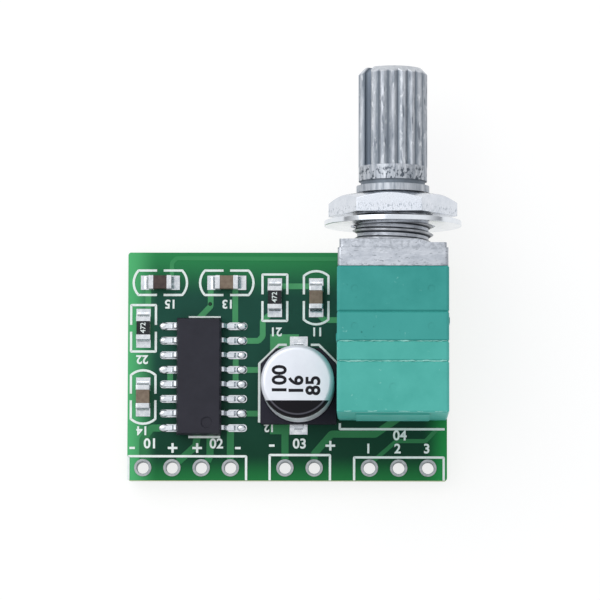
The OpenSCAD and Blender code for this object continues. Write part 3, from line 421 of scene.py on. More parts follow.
@dataclass(frozen=True)
class RolledKnurl(Finish):
    """Turned metal with rolled teeth or a thread: streaked, with painted shade down its grooves, and dull in
    a slot, whose wall is painted pale as painted light against its shade.
    """

    painted_groove_shade: str = "#7a838e"
    slot_wall_painted_light: str = "#b4bfcc"
    slot_r: float = 2.4
    root_r: float = 2.7
    crest_r: float = 2.92
    chamfer_y: float = 0.0
    face_y: float = 0.0
    ring_mm: float = 0.34
    ring_wobble: float = 0.6
    ring_grey: str = "#979ea7"

    def tune(self, tree: NodeTree, shader: Node, place: NodeSocket, colour: NodeSocket) -> None:
        """Paints shade from the crests down to the roots, dulls the slot and paints light on its wall, and
        turns rings on the end.

        Args:
            tree: Tree of the material.
            shader: Its shader.
            place: Object coordinates.
            colour: Streaked colour of the metal.
        """
        across = add_node(tree, "ShaderNodeVectorMath", {0: place, 1: (1.0, 0.0, 1.0)}, operation="MULTIPLY")
        radius = add_node(tree, "ShaderNodeVectorMath", {0: across.outputs["Vector"]}, operation="LENGTH")
        axes = add_node(tree, "ShaderNodeSeparateXYZ", {"Vector": place})
        past = add_node(tree, "ShaderNodeMath", {0: axes.outputs["Y"], 1: self.chamfer_y * MM},
                        operation="SUBTRACT")
        tip = add_node(tree, "ShaderNodeMath", {0: past.outputs["Value"], 1: 0.0}, operation="MAXIMUM")
        level = add_node(tree, "ShaderNodeMath", {0: radius.outputs["Value"], 1: tip.outputs["Value"]},
                         operation="ADD")
        height = add_node(tree, "ShaderNodeMapRange", {
            "Value": level.outputs["Value"], "From Min": self.root_r * MM, "From Max": self.crest_r * MM},
            interpolation_type="SMOOTHSTEP")
        # Painted shade: the metal darkens towards the roots of the teeth
        groove_shaded = add_node(tree, "ShaderNodeMix", {
            MIX_FACTOR: height.outputs["Result"], MIX_A: linear(self.painted_groove_shade), MIX_B: colour},
            data_type="RGBA")
        depth = add_node(tree, "ShaderNodeMapRange", {
            "Value": level.outputs["Value"], "From Min": self.slot_r * MM, "From Max": self.root_r * MM})
        # Painted light: the slot's wall is painted pale to lift the shade inside it
        slot_lightened = add_node(tree, "ShaderNodeMix", {
            MIX_FACTOR: depth.outputs["Result"], MIX_A: linear(self.slot_wall_painted_light),
            MIX_B: groove_shaded.outputs[MIX_RESULT]}, data_type="RGBA")
        # Rings from facing the end, drawn a few times coarser than a real tool leaves them, so that they show
        turned = add_node(tree, "ShaderNodeTexWave", {
            "Vector": place, "Scale": WAVE_RING * per_mm(self.ring_mm), "Distortion": self.ring_wobble,
            "Detail": 2.0}, wave_type="RINGS", rings_direction="Y")
        faced = add_node(tree, "ShaderNodeMix", {
            MIX_FACTOR: turned.outputs["Fac"], MIX_A: colour, MIX_B: linear(self.ring_grey)},
            data_type="RGBA")
        on_end = add_node(tree, "ShaderNodeMath", {0: axes.outputs["Y"], 1: self.face_y * MM},
                          operation="GREATER_THAN")
        ended = add_node(tree, "ShaderNodeMix", {
            MIX_FACTOR: on_end.outputs["Value"], MIX_A: slot_lightened.outputs[MIX_RESULT],
            MIX_B: faced.outputs[MIX_RESULT]}, data_type="RGBA")
        shiny = add_node(tree, "ShaderNodeMath", {0: depth.outputs["Result"], 1: on_end.outputs["Value"]},
                         operation="MAXIMUM")
        bare = add_node(tree, "ShaderNodeMapRange", {
            "Value": shiny.outputs["Value"], "To Min": 0.0, "To Max": self.metallic})
        tree.links.new(ended.outputs[MIX_RESULT], shader.inputs["Base Color"])
        tree.links.new(bare.outputs["Result"], shader.inputs["Metallic"])


class Bench:
    """Shapes pieces in millimetres and sets them down in the frame.

    Points closer than a merge distance are one. Faces that differ by less than the flat angle are joined, and
    edges sharper than the sharp angle are rounded.
    """

    MERGE_MM = 2e-4
    INK_MERGE_MM = 1e-4
    FLAT_DEG = 0.4
    SHARP_DEG = 34.0

    @staticmethod
    def lay(name: str, data: ID) -> Object:
        """Puts a mesh or a text on the bench as an object.

        Args:
            name: Name of the piece.
            data: Its mesh or text, in millimetres.

        Returns:
            The linked object.
        """
        piece = bpy.data.objects.new(name, data)
        bpy.context.scene.collection.objects.link(piece)
        return piece

    @staticmethod
    def copy_node(name: str, node: str, join: bool = True) -> Object:
        """Copies a CAD node to the bench, with its triangles merged and its flat faces joined.

        Args:
            name: Name of the piece.
            node: CAD node to copy.
            join: False where a wall has openings, which one joined face can't hold.

        Returns:
            The copy, in millimetres.
        """
        work = bmesh.new()
        work.from_mesh(frame["nodes"][node].data)
        bmesh.ops.scale(work, vec=Vector((1 / MM,) * 3), verts=work.verts)
        bmesh.ops.remove_doubles(work, verts=work.verts, dist=Bench.MERGE_MM)
        if join:
            bmesh.ops.dissolve_limit(work, angle_limit=math.radians(Bench.FLAT_DEG), verts=work.verts,
                                     edges=work.edges)
        for face in work.faces:
            face.smooth = True
        mesh = bpy.data.meshes.new(name)
        work.to_mesh(mesh)
        work.free()
        if "custom_normal" in mesh.attributes:
            mesh.attributes.remove(mesh.attributes["custom_normal"])
        return Bench.lay(name, mesh)

    @staticmethod
    def round_edges(piece: Object, width: float, segments: int = 2) -> None:
        """Rounds a piece's sharp edges.

        Args:
            piece: Piece on the bench.
            width: Width of the rounding in millimetres.
            segments: Faces across it.
        """
        bevel = piece.modifiers.new("rounded_edges", "BEVEL")
        bevel.width = width
        bevel.segments = segments
        bevel.limit_method = "ANGLE"
        bevel.angle_limit = math.radians(Bench.SHARP_DEG)
        bevel.harden_normals = True

    @staticmethod
    def run_tree(piece: Object, tree: NodeTree, inputs: dict[str, object]) -> None:
        """Gives a piece a Geometry Nodes tree, with its named inputs set by their identifiers.

        Args:
            piece: Piece on the bench.
            tree: Geometry Nodes tree.
            inputs: Value of each named input.
        """
        modifier = piece.modifiers.new(tree.name, "NODES")
        modifier.node_group = tree
        for item in tree.interface.items_tree:
            if item.item_type == "SOCKET" and item.in_out == "INPUT" and item.name in inputs:
                modifier[item.identifier] = inputs[item.name]

    @staticmethod
    def set_down(piece: Object, body: str, slot: str, material: Material,
                 stands_for: tuple[str, ...] = ()) -> None:
        """Makes a piece a plain mesh in metres and lets it ride on its body.

        Args:
            piece: Piece on the bench, with its modifiers.
            body: CAD body that carries it.
            slot: Material slot of the record that it belongs to; not used.
            material: Its finish.
            stands_for: CAD nodes that it replaces.
        """
        graph = bpy.context.evaluated_depsgraph_get()
        shaped = bpy.data.meshes.new_from_object(piece.evaluated_get(graph), depsgraph=graph)
        piece.modifiers.clear()
        piece.data = shaped
        shaped.transform(Matrix.Scale(MM, 4))
        shaped.materials.clear()
        shaped.materials.append(material)
        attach(piece, body)
        if stands_for:
            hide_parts(*stands_for)
        LOG.info("%s: %d faces on %s, %s", piece.name, len(shaped.polygons), body, material.name)

    @staticmethod
    def grow(mesh: Mesh, tree: NodeTree, sizes: dict[str, float], slot: str, material: Material) -> None:
        """Grows a piece from points or paths by a Geometry Nodes tree, and sets it down on the board's body.

        Args:
            mesh: Points or paths, in millimetres, with the name of the piece.
            tree: Geometry Nodes tree.
            sizes: Value of each size of the tree.
            slot: Material slot of the record that the piece belongs to.
            material: Its finish.
        """
        piece = Bench.lay(mesh.name, mesh)
        Bench.run_tree(piece, tree, {**sizes, "Material": material})
        Bench.set_down(piece, "board", slot, material)


class Trees:
    """Geometry Nodes trees for what repeats or follows a path."""

    @staticmethod
    def start(name: str, sizes: tuple[str, ...]) -> tuple[NodeTree, Node]:
        """Starts a tree with a geometry input, named sizes and a material.

        Args:
            name: Name of the tree.
            sizes: Names of its size inputs.

        Returns:
            The tree and its input node.
        """
        tree = bpy.data.node_groups.new(name, "GeometryNodeTree")
        tree.interface.new_socket("Geometry", in_out="INPUT", socket_type="NodeSocketGeometry")
        for size in sizes:
            tree.interface.new_socket(size, in_out="INPUT", socket_type="NodeSocketFloat")
        tree.interface.new_socket("Material", in_out="INPUT", socket_type="NodeSocketMaterial")
        tree.interface.new_socket("Geometry", in_out="OUTPUT", socket_type="NodeSocketGeometry")
        return tree, add_node(tree, "NodeGroupInput")

    @staticmethod
    def end(tree: NodeTree, given: Node, shape: NodeSocket) -> None:
        """Ends a tree in realised instances that carry its material.

        Args:
            tree: Tree to end.
            given: Its input node.
            shape: Geometry that it has made.
        """
        real = add_node(tree, "GeometryNodeRealizeInstances", {"Geometry": shape})
        dressed = add_node(tree, "GeometryNodeSetMaterial", {
            "Geometry": real.outputs["Geometry"], "Material": given.outputs["Material"]})
        add_node(tree, "NodeGroupOutput", {"Geometry": dressed.outputs["Geometry"]})

    @staticmethod
    def ribbon() -> NodeTree:
        """Flat ribbon along every path of edges, with rounded corners.

        Returns:
            The new tree.
        """
        tree, given = Trees.start("ribbon", ("Width", "Thickness", "Corner"))
        path = add_node(tree, "GeometryNodeMeshToCurve", {"Mesh": given.outputs["Geometry"]})
        soft = add_node(tree, "GeometryNodeFilletCurve", {
            "Curve": path.outputs["Curve"], "Radius": given.outputs["Corner"], "Count": 6,
            "Limit Radius": True}, mode="POLY")
        upright = add_node(tree, "GeometryNodeSetCurveNormal", {"Curve": soft.outputs["Curve"]}, mode="Z_UP")
        section = add_node(tree, "GeometryNodeCurvePrimitiveQuadrilateral", {
            "Width": given.outputs["Width"], "Height": given.outputs["Thickness"]})
        band = add_node(tree, "GeometryNodeCurveToMesh", {
            "Curve": upright.outputs["Curve"], "Profile Curve": section.outputs["Curve"], "Fill Caps": True})
        crisp = add_node(tree, "GeometryNodeSetShadeSmooth", {
            "Geometry": band.outputs["Mesh"], "Shade Smooth": False})
        Trees.end(tree, given, crisp.outputs["Geometry"])
        return tree

    @staticmethod
    def sleeves() -> NodeTree:
        """One short sleeve at every point.

        Returns:
            The new tree.
        """
        tree, given = Trees.start("sleeves", ("Radius", "Wall", "Length"))
        circle = add_node(tree, "GeometryNodeCurvePrimitiveCircle", {
            "Radius": given.outputs["Radius"], "Resolution": 40})
        section = add_node(tree, "GeometryNodeCurvePrimitiveQuadrilateral", {
            "Width": given.outputs["Wall"], "Height": given.outputs["Length"]})
        sleeve = add_node(tree, "GeometryNodeCurveToMesh", {
            "Curve": circle.outputs["Curve"], "Profile Curve": section.outputs["Curve"]})
        placed = add_node(tree, "GeometryNodeInstanceOnPoints", {
            "Points": given.outputs["Geometry"], "Instance": sleeve.outputs["Mesh"]})
        Trees.end(tree, given, placed.outputs["Instances"])
        return tree

    @staticmethod
    def mounds() -> NodeTree:
        """One mound of solder at every point, long in X and flattened.

        Returns:
            The new tree.
        """
        tree, given = Trees.start("solder_mounds", ("Length", "Width", "Height"))
        ball = add_node(tree, "GeometryNodeMeshUVSphere", {"Segments": 20, "Rings": 12, "Radius": 0.5})
        size = add_node(tree, "ShaderNodeCombineXYZ", {
            "X": given.outputs["Length"], "Y": given.outputs["Width"], "Z": given.outputs["Height"]})
        drop = add_node(tree, "GeometryNodeTransform", {
            "Geometry": ball.outputs["Mesh"], "Scale": size.outputs["Vector"]})
        uneven = add_node(tree, "FunctionNodeRandomValue", {
            RANDOM_LEAST: 0.86, RANDOM_MOST: 1.1, "Seed": 7}, data_type="FLOAT")
        placed = add_node(tree, "GeometryNodeInstanceOnPoints", {
            "Points": given.outputs["Geometry"], "Instance": drop.outputs["Geometry"],
            "Scale": uneven.outputs[RANDOM_FLOAT]})
        soft = add_node(tree, "GeometryNodeSetShadeSmooth", {"Geometry": placed.outputs["Instances"]})
        Trees.end(tree, given, soft.outputs["Geometry"])
        return tree

    @staticmethod
    def thread() -> NodeTree:
        """A triangular thread that winds up the Y axis.

        Returns:
            The new tree.
        """
        tree, given = Trees.start("thread", ("Radius", "Turns", "Length", "Depth", "Start"))
        helix = add_node(tree, "GeometryNodeCurveSpiral", {
            "Resolution": 64, "Rotations": given.outputs["Turns"], "Start Radius": given.outputs["Radius"],
            "End Radius": given.outputs["Radius"], "Height": given.outputs["Length"], "Reverse": False})
        upright = add_node(tree, "GeometryNodeSetCurveNormal", {"Curve": helix.outputs["Curve"]}, mode="Z_UP")
        ridge = add_node(tree, "GeometryNodeCurvePrimitiveCircle", {
            "Resolution": 3, "Radius": given.outputs["Depth"]})
        crest = add_node(tree, "GeometryNodeTransform", {
            "Geometry": ridge.outputs["Curve"], "Rotation": (0.0, 0.0, math.pi)})
        wound = add_node(tree, "GeometryNodeCurveToMesh", {
            "Curve": upright.outputs["Curve"], "Profile Curve": crest.outputs["Geometry"], "Fill Caps": True})
        shift = add_node(tree, "ShaderNodeCombineXYZ", {"Y": given.outputs["Start"]})
        laid = add_node(tree, "GeometryNodeTransform", {
            "Geometry": wound.outputs["Mesh"], "Rotation": (math.radians(-90), 0.0, 0.0),
            "Translation": shift.outputs["Vector"]})
        Trees.end(tree, given, laid.outputs["Geometry"])
        return tree

    @staticmethod
    def flash() -> NodeTree:
        """A ragged fin of mould flash along every path of edges.

        Returns:
            The new tree.
        """
        tree, given = Trees.start("mould_flash", ("Thickness", "Step", "Wander"))
        path = add_node(tree, "GeometryNodeMeshToCurve", {"Mesh": given.outputs["Geometry"]})
        fine = add_node(tree, "GeometryNodeResampleCurve", {
            "Curve": path.outputs["Curve"], "Length": given.outputs["Step"]}, mode="LENGTH")
        # The path wanders about its line, a little low, so that the fin stays rooted in the seam
        noise = add_node(tree, "ShaderNodeTexNoise", {"Scale": 2.4, "Detail": 3.0})
        centred = add_node(tree, "ShaderNodeVectorMath", {0: noise.outputs["Color"], 1: (0.5, 0.5, 0.62)},
                           operation="SUBTRACT")
        offset = add_node(tree, "ShaderNodeVectorMath", {
            0: centred.outputs["Vector"], "Scale": given.outputs["Wander"]}, operation="SCALE")
        ragged = add_node(tree, "GeometryNodeSetPosition", {
            "Geometry": fine.outputs["Curve"], "Offset": offset.outputs["Vector"]})
        section = add_node(tree, "GeometryNodeCurvePrimitiveCircle", {
            "Resolution": 8, "Radius": given.outputs["Thickness"]})
        lumps = add_node(tree, "ShaderNodeTexNoise", {"Scale": 0.9, "Detail": 4.0, "Roughness": 0.65})
        swell = add_node(tree, "ShaderNodeMapRange", {
            "Value": lumps.outputs["Fac"], "From Min": 0.38, "From Max": 0.66, "To Min": 0.3, "To Max": 1.9})
        fin = add_node(tree, "GeometryNodeCurveToMesh", {
            "Curve": ragged.outputs["Geometry"], "Profile Curve": section.outputs["Curve"],
            "Scale": swell.outputs["Result"], "Fill Caps": True})
        soft = add_node(tree, "GeometryNodeSetShadeSmooth", {"Geometry": fin.outputs["Mesh"]})
        Trees.end(tree, given, soft.outputs["Geometry"])
        return tree


class Turn(Enum):
    """How a mark is turned on the board, as the angle about +Z in degrees."""

    UPRIGHT = 0
    UPSIDE_DOWN = 180
    UPWARDS = 90


@dataclass(frozen=True)
class Mark:
    """One plain number of a printed legend, with its place and height in millimetres."""

    text: str
    at: Point
    size: float
    turn: Turn = Turn.UPRIGHT
    weight: float = 0.0


def loose_mesh(name: str, points: list[Place], edges: list[tuple[int, int]] | None = None) -> Mesh:
    """Makes a mesh of points and edges, without faces.

    Args:
        name: Name of the mesh.
        points: Its points, in millimetres.
        edges: Pairs of points that are joined.

    Returns:
        The mesh.
    """
    mesh = bpy.data.meshes.new(name)
    mesh.from_pydata(points, edges or [], [])
    return mesh


def paths_mesh(name: str, paths: list[Path], height: float) -> Mesh:
    """Makes paths of edges at one height.

    Args:
        name: Name of the mesh.
        paths: Plan points of each path, in millimetres.
        height: Height of all of them.

    Returns:
        A mesh of edges only.
    """
    points: list[Place] = []
    edges: list[tuple[int, int]] = []
    for path in paths:
        first = len(points)
        points += [(x, y, height) for x, y in path]
        edges += [(first + i, first + i + 1) for i in range(len(path) - 1)]
    return loose_mesh(name, points, edges)


def marks_mesh(name: str, marks: list[Mark], bottom: float, thickness: float) -> Mesh:
    """Makes a printed legend as one thin mesh.

    Args:
        name: Name of the mesh.
        marks: Marks to print.
        bottom: Height of the surface that carries them, in millimetres.
        thickness: Thickness of the ink.

    Returns:
        The mesh of all marks, in millimetres.
    """
    print_work = bmesh.new()
    for mark in marks:
        curve = bpy.data.curves.new(name, "FONT")
        curve.body = mark.text
        curve.size = mark.size
        curve.align_x = "CENTER"
        curve.align_y = "CENTER"
        curve.extrude = thickness / 2
        curve.offset = mark.weight
        curve.resolution_u = 4
        letters = Bench.lay(name, curve)
        graph = bpy.context.evaluated_depsgraph_get()
        mesh = bpy.data.meshes.new_from_object(letters.evaluated_get(graph), depsgraph=graph)
        mesh.transform(Matrix.Translation((mark.at[0], mark.at[1], bottom + thickness / 2))
                       @ Matrix.Rotation(math.radians(mark.turn.value), 4, "Z"))
        print_work.from_mesh(mesh)
        bpy.data.objects.remove(letters)
        bpy.data.curves.remove(curve)
        bpy.data.meshes.remove(mesh)
    merged = bpy.data.meshes.new(name)
    bmesh.ops.remove_doubles(print_work, verts=print_work.verts, dist=Bench.INK_MERGE_MM)
    for face in print_work.faces:
        face.smooth = False
    print_work.to_mesh(merged)
    print_work.free()
    return merged


@dataclass(frozen=True)
class LeadRow:
    """The leads along one side of the chip."""

    pitch: float = 1.27
    count: int = 8

    def places(self, middle: float) -> list[float]:
        """Y of each lead, from the rear one to the front one."""
        return [middle + (i - (self.count - 1) / 2) * self.pitch for i in range(self.count)]


@dataclass
class PrintedBoard:
    """The laminate with its mask, traces, legend and plated holes."""

    trace_w: float = 0.5
    fine_w: float = 0.36
    wide_w: float = 0.62
    trace_corner: float = 0.3
    under_corner: float = 0.4
    copper_t: float = 0.035
    copper_step: float = 0.004
    pour_w: tuple[float, float] = (1.5, 0.85)
    silk_w: float = 0.2
    silk_t: float = 0.045
    silk_corner: float = 0.05
    figure: float = 1.05
    figure_group: float = 1.2
    figure_input: float = 1.15
    figure_weight: float = 0.03
    plus_half: float = 0.42
    minus_half: float = 0.24
    capacitor_half: Point = (2.33, 1.07)
    capacitor_gap: float = 0.58
    capacitor_bulge: float = 0.42
    resistor_half: Point = (2.03, 1.08)
    resistor_gap: float = 0.6
    arc_steps: int = 8
    hole_r: float = 0.55
    plating: float = 0.04
    ring_r: float = 0.72
    via_r: float = 0.09
    via_wall: float = 0.16
    via_t: float = 0.05
    cut_margin: float = 0.06
    cut_fade: float = 0.02
    leads: LeadRow = LeadRow()

    def __post_init__(self) -> None:
        """Reads the board's edges and the places of its wire holes from the frame."""
        low, high = node_box("circuit_board")
        self.left, self.rear, self.bottom = low
        self.right, self.front, self.top = high
        rings_low, rings_high = node_box("wire_rings")
        self.hole_y = (rings_low.y + rings_high.y) / 2
        self.holes = [mount["pos_m"][0] / MM for mount in frame["record"]["mounts"]
                      if mount["kind"] == "bore"]

    def painted_light_rims(self) -> tuple[PaintedLightRim, ...]:
        """Painted light along the board's edges, where light enters the laminate, and painted shade over the
        rear half.
        """
        return (
            PaintedLightRim(Axis.ALONG, self.rear, self.front - 6.0, "#0a3822", 0.75),
            PaintedLightRim(Axis.ALONG, self.front, self.front - 4.2, "#2f8850", 0.95),
            PaintedLightRim(Axis.ALONG, self.rear, self.rear + 2.3, "#23763f", 0.95),
            PaintedLightRim(Axis.ACROSS, self.right, self.right - 2.2, "#2a9a50", 0.85),
            PaintedLightRim(Axis.ACROSS, self.left, self.left + 2.7, "#56b877", 0.95))

    def finish(self) -> SolderMask:
        """The board's mask, which knows where its rims and cut edges are."""
        # Glossy green ink over glass cloth: deep in the middle, with painted light along the edges where
        # light enters the laminate, and painted shade over the rear half
        return SolderMask("solder_mask", "#1c493d", "#215043", 0.36, cloud_mm=5.0, grain_mm=0.35,
                          grain_depth_mm=0.003, gloss_spread=0.05, specular=0.08, painted_light_rims=self.painted_light_rims(),
                          cut=Zone(Axis.UP, self.bottom + self.cut_margin, self.top - self.cut_margin,
                                   self.cut_fade))

    def copper_finish(self) -> SolderMask:
        """Mask over copper, with painted shade that darkens it towards the rear and along its front and rear
        edges.
        """
        # The same ink over bright metal: a lighter, yellower green
        return SolderMask("solder_mask_over_copper", "#4a9664", "#53a16d", 0.36, cloud_mm=3.0, grain_mm=0.3,
                          grain_depth_mm=0.003, gloss_spread=0.05, specular=0.08,
                          painted_light_rims=(PaintedLightRim(Axis.ALONG, self.rear, self.front - 9.0, "#24693f", 0.85),
                                PaintedLightRim(Axis.ALONG, self.front, self.front - 2.6, "#398f58", 1.0),
                                PaintedLightRim(Axis.ALONG, self.rear, self.rear + 2.3, "#2a7f4b", 0.9)))

    def fine_traces(self) -> list[Path]:
        """Narrow signal traces along the front edge and beside the control.

        Returns:
            Plan points of each trace, in millimetres.
        """
        c5 = plan_centre("c5_ceramic")
        return [
            [(self.right - 9.6, self.front - 0.55), (c5[0] + 1.4, self.front - 0.5),
             (c5[0] + 1.0, self.front - 0.9), (c5[0] + 1.0, c5[1])],
            [(self.holes[6] + 0.35, self.hole_y + self.ring_r - 0.1),
             (self.holes[7] - 0.2, self.rear + 3.45), (self.holes[8] - 0.2, self.rear + 3.45),
             (self.holes[8] + 0.9, self.rear + 4.6)],
        ]

    def traces(self) -> list[Path]:
        """Signal and output traces between the chip, the chip parts and the holes.

        Returns:
            Plan points of each trace, in millimetres.
        """
        c1, c3, c5 = plan_centre("c1_ceramic"), plan_centre("c3_ceramic"), plan_centre("c5_ceramic")
        r1, r2 = plan_centre("r1_substrate"), plan_centre("r2_substrate")
        chip_low, chip_high = node_box("amplifier_chip")
        chip = plan_centre("amplifier_chip")
        lead = self.leads.places(chip[1])[::-1]
        lane = chip_high.x + 1.6
        base_left = node_box("electrolytic_base")[0].x
        return [
            [(c5[0] - 1.05, c5[1]), (c5[0] - 1.05, r2[1] + 1.3)],
            [(c3[0] - 1.4, c3[1]), (c3[0] - 1.4, c3[1] - 2.05), (chip[0] - 0.3, chip_high.y - 0.2)],
            [(c3[0] + 0.75, c3[1]), (c3[0] + 0.75, lead[0])],
            [(r1[0] + 0.2, c1[1] + 1.0), (c1[0], c1[1] + 1.0)],
            [(lane, lead[1]), (lane + 1.6, lead[1]), (lane + 1.95, lead[1] + 0.4), (lane + 1.95, r1[1] - 2.0),
             (r1[0], r1[1] - 1.1)],
            [(lane - 0.4, lead[2]), (lane - 0.4, lead[4])],
            [(lane, lead[3]), (base_left + 0.6, lead[3])],
            [(lane, lead[6]), (base_left + 0.6, lead[6])],
            [(chip_low.x - 0.6, lead[3]), (chip_low.x - 0.6, lead[4])],
            [(c1[0], c1[1] - 1.2), (c1[0] + 0.7, c1[1] - 1.95), (self.right - 9.0, c1[1] - 1.95)],
        ]

    def wide_traces(self) -> list[Path]:
        """Supply and speaker traces, which carry more current.

        Returns:
            Plan points of each trace, in millimetres.
        """
        chip_low = node_box("amplifier_chip")[0]
        chip = plan_centre("amplifier_chip")
        base_rear = node_box("electrolytic_base")[0].y
        last = self.leads.places(chip[1])[0]
        rim = self.hole_y + self.ring_r
        return [
            [(chip_low.x - 1.2, last), (chip_low.x - 2.2, last), (self.holes[0], last - 1.0),
             (self.holes[0], rim)],
            [(chip[0] - 0.1, chip_low.y + 0.3), (chip[0] - 0.3, chip_low.y - 0.9),
             (self.holes[1] + 0.55, rim - 0.2)],
            [(chip[0] + 0.95, chip_low.y + 0.3), (chip[0] + 0.95, rim + 0.4),
             (self.holes[2] + 0.55, rim - 0.2)],
            [(self.holes[3], last), (self.holes[3], rim)],
            [(self.holes[4], base_rear - 0.4), (self.holes[4], rim)],
            [(self.holes[5], rim), (self.holes[5], rim + 0.5), (self.holes[5] + 1.5, self.rear + 4.05),
             (self.holes[6] + 0.5, self.rear + 4.05), (self.holes[7] + 0.2, self.rear + 5.6)],
        ]

    def under_traces(self) -> list[Path]:
        """Traces on the underside, from the input and supply holes to the control's pins.

        Returns:
            Plan points of each trace, in millimetres.
        """
        front_low, front_high = node_box("front_pins")
        rear_low, rear_high = node_box("rear_pins")
        front_y, rear_y = (front_low.y + front_high.y) / 2, (rear_low.y + rear_high.y) / 2
        left, middle, right = rear_low.x + 0.3, (rear_low.x + rear_high.x) / 2, rear_high.x - 0.3
        rim = self.hole_y + self.ring_r
        return [
            [(self.holes[6], rim), (self.holes[6], rim + 1.2), (left - 1.3, rim + 2.6),
             (left - 1.3, rear_y - 1.2), (left, rear_y)],
            [(self.holes[7], rim), (self.holes[7], rim + 2.0), (middle, rim + 3.4), (middle, rear_y)],
            [(self.holes[8], rim), (self.holes[8], rim + 1.6), (right + 1.3, rim + 2.8),
             (right + 1.3, front_y - 1.2), (right, front_y)],
            [(self.holes[5], rim), (self.holes[5], rim + 3.2), (left - 2.6, rim + 4.4),
             (left - 2.6, front_y - 1.4), (left - 1.2, front_y), (left, front_y)],
            [(self.holes[4], rim), (self.holes[4], self.front - 3.2), (self.holes[4] + 1.6, self.front - 1.6),
             (middle - 1.2, self.front - 1.6), (middle, front_y)],
        ]

    def outline(self, node: str, half: Point, gap: float, bulge: float, standing: bool) -> list[Path]:
        """The two halves of a chip part's printed outline.

        Args:
            node: CAD node at its middle.
            half: Half length and half width of the outline.
            gap: Opening in the long sides.
            bulge: How far the short ends stand out.
            standing: True where the part lies along Y.

        Returns:
            Two open paths.
        """
        x, y = half
        if bulge:
            radius = (y * y + bulge * bulge) / (2 * bulge)
            sweep = math.asin(y / radius)
            turns = [sweep * (1 - 2 * i / self.arc_steps) for i in range(self.arc_steps + 1)]
            end = [(x - radius + radius * math.cos(a), radius * math.sin(a)) for a in turns]
        else:
            end = [(x, y), (x, -y)]
        side = [(gap / 2, y), *end, (gap / 2, -y)]
        at = plan_centre(node)
        both = [side, [(-px, py) for px, py in side]]
        if standing:
            both = [[(-py, px) for px, py in path] for path in both]
        return [[(at[0] + px, at[1] + py) for px, py in path] for path in both]

    def silk_paths(self) -> list[Path]:
        """Printed outlines of the parts, the control and the three groups of holes, and the signs.

        Returns:
            Plan points of each line, in millimetres.
        """
        paths: list[Path] = []
        for node, standing in (("c5_ceramic", False), ("c3_ceramic", False), ("c4_ceramic", True),
                               ("c1_ceramic", True)):
            paths += self.outline(node, self.capacitor_half, self.capacitor_gap, self.capacitor_bulge,
                                  standing)
        for node in ("r1_substrate", "r2_substrate"):
            paths += self.outline(node, self.resistor_half, self.resistor_gap, 0.0, True)
        chip_low, chip_high = node_box("amplifier_chip")
        for y in (chip_high.y + 0.12, chip_low.y - 0.12):
            paths.append([(chip_low.x + 1.0, y), (chip_high.x - 0.12, y)])
        low, high = node_box("electrolytic_base")
        x0, x1, y0, y1 = low.x - 0.14, high.x + 0.1, low.y + 0.2, high.y + 0.38
        paths.append([(x0, y0), (x0, y1 - 1.65), (x0 + 1.7, y1), (x0 + 2.4, y1)])
        paths.append([(x1 - 2.35, y1), (x1 - 1.65, y1), (x1, y1 - 1.65)])
        pot_low, pot_high = node_box("switch_cover")
        paths.append([(pot_low.x + 0.18, pot_low.y - 0.1), (pot_low.x + 0.18, pot_low.y - 0.62),
                      (pot_high.x - 0.2, pot_low.y - 0.62)])
        row = self.hole_y + 1.72
        minus = ((self.holes[0] - 0.93, 0.0), (self.holes[3] + 0.65, 0.0), (self.holes[4] - 1.15, 0.22))
        plus = ((self.holes[1] + 0.05, 0.0), (self.holes[2] - 0.35, 0.0), (self.holes[5] + 1.4, 0.22))
        for signs, half in ((minus, self.minus_half), (plus, self.plus_half)):
            for x, raised in signs:
                y = row + raised
                paths.append([(x - half, y), (x + half, y)])
                if signs is plus:
                    paths += [[(x, y + side * self.silk_w / 2), (x, y + side * half)] for side in (-1, 1)]
        for first, last, lift in ((0, 3, 1.0), (4, 5, 1.12), (6, 8, 0.92)):
            left, right = self.holes[first] - 1.33, self.holes[last] + 1.37
            left, right = max(left, self.left + 0.1), min(right, self.right - 0.1)
            rim, top = self.rear + 0.02, self.hole_y + lift
            paths.append([(left, rim), (left, top), (right, top), (right, rim)])
        return paths

    def marks(self) -> list[Mark]:
        """Plain numbers of the legend.

        Returns:
            The marks, with their places on the board.
        """
        size, weight, down = self.figure, self.figure_weight, Turn.UPSIDE_DOWN
        places = (("15", "c5_ceramic", (0.9, -1.83)), ("13", "c3_ceramic", (0.1, -1.83)),
                  ("22", "r2_substrate", (-0.1, -2.7)), ("14", "c4_ceramic", (-0.05, -2.9)),
                  ("21", "r1_substrate", (0.1, -2.95)), ("11", "c1_ceramic", (0.1, -2.95)))
        marks = []
        for text, node, offset in places:
            at = plan_centre(node)
            marks.append(Mark(text, (at[0] + offset[0], at[1] + offset[1]), size, down, weight))
        base_low = node_box("electrolytic_base")[0]
        marks.append(Mark("12", (base_low.x + 0.75, base_low.y - 0.25), size * 0.9, down, weight))
        row = self.hole_y + 1.95
        groups = ((self.holes[0] + self.holes[1]) / 2 - 0.6, (self.holes[2] + self.holes[3]) / 2 + 0.05,
                  (self.holes[4] + self.holes[5]) / 2, self.holes[7] + 0.1)
        for i, x in enumerate(groups):
            at = (x, row + (0.85 if i == 3 else 0.12))
            marks.append(Mark(f"0{i + 1}", at, self.figure_group, weight=weight))
        for i, x in enumerate(self.holes[6:]):
            marks.append(Mark(str(i + 1), (x - 0.1, row - 0.3), self.figure_input, weight=weight))
        return marks

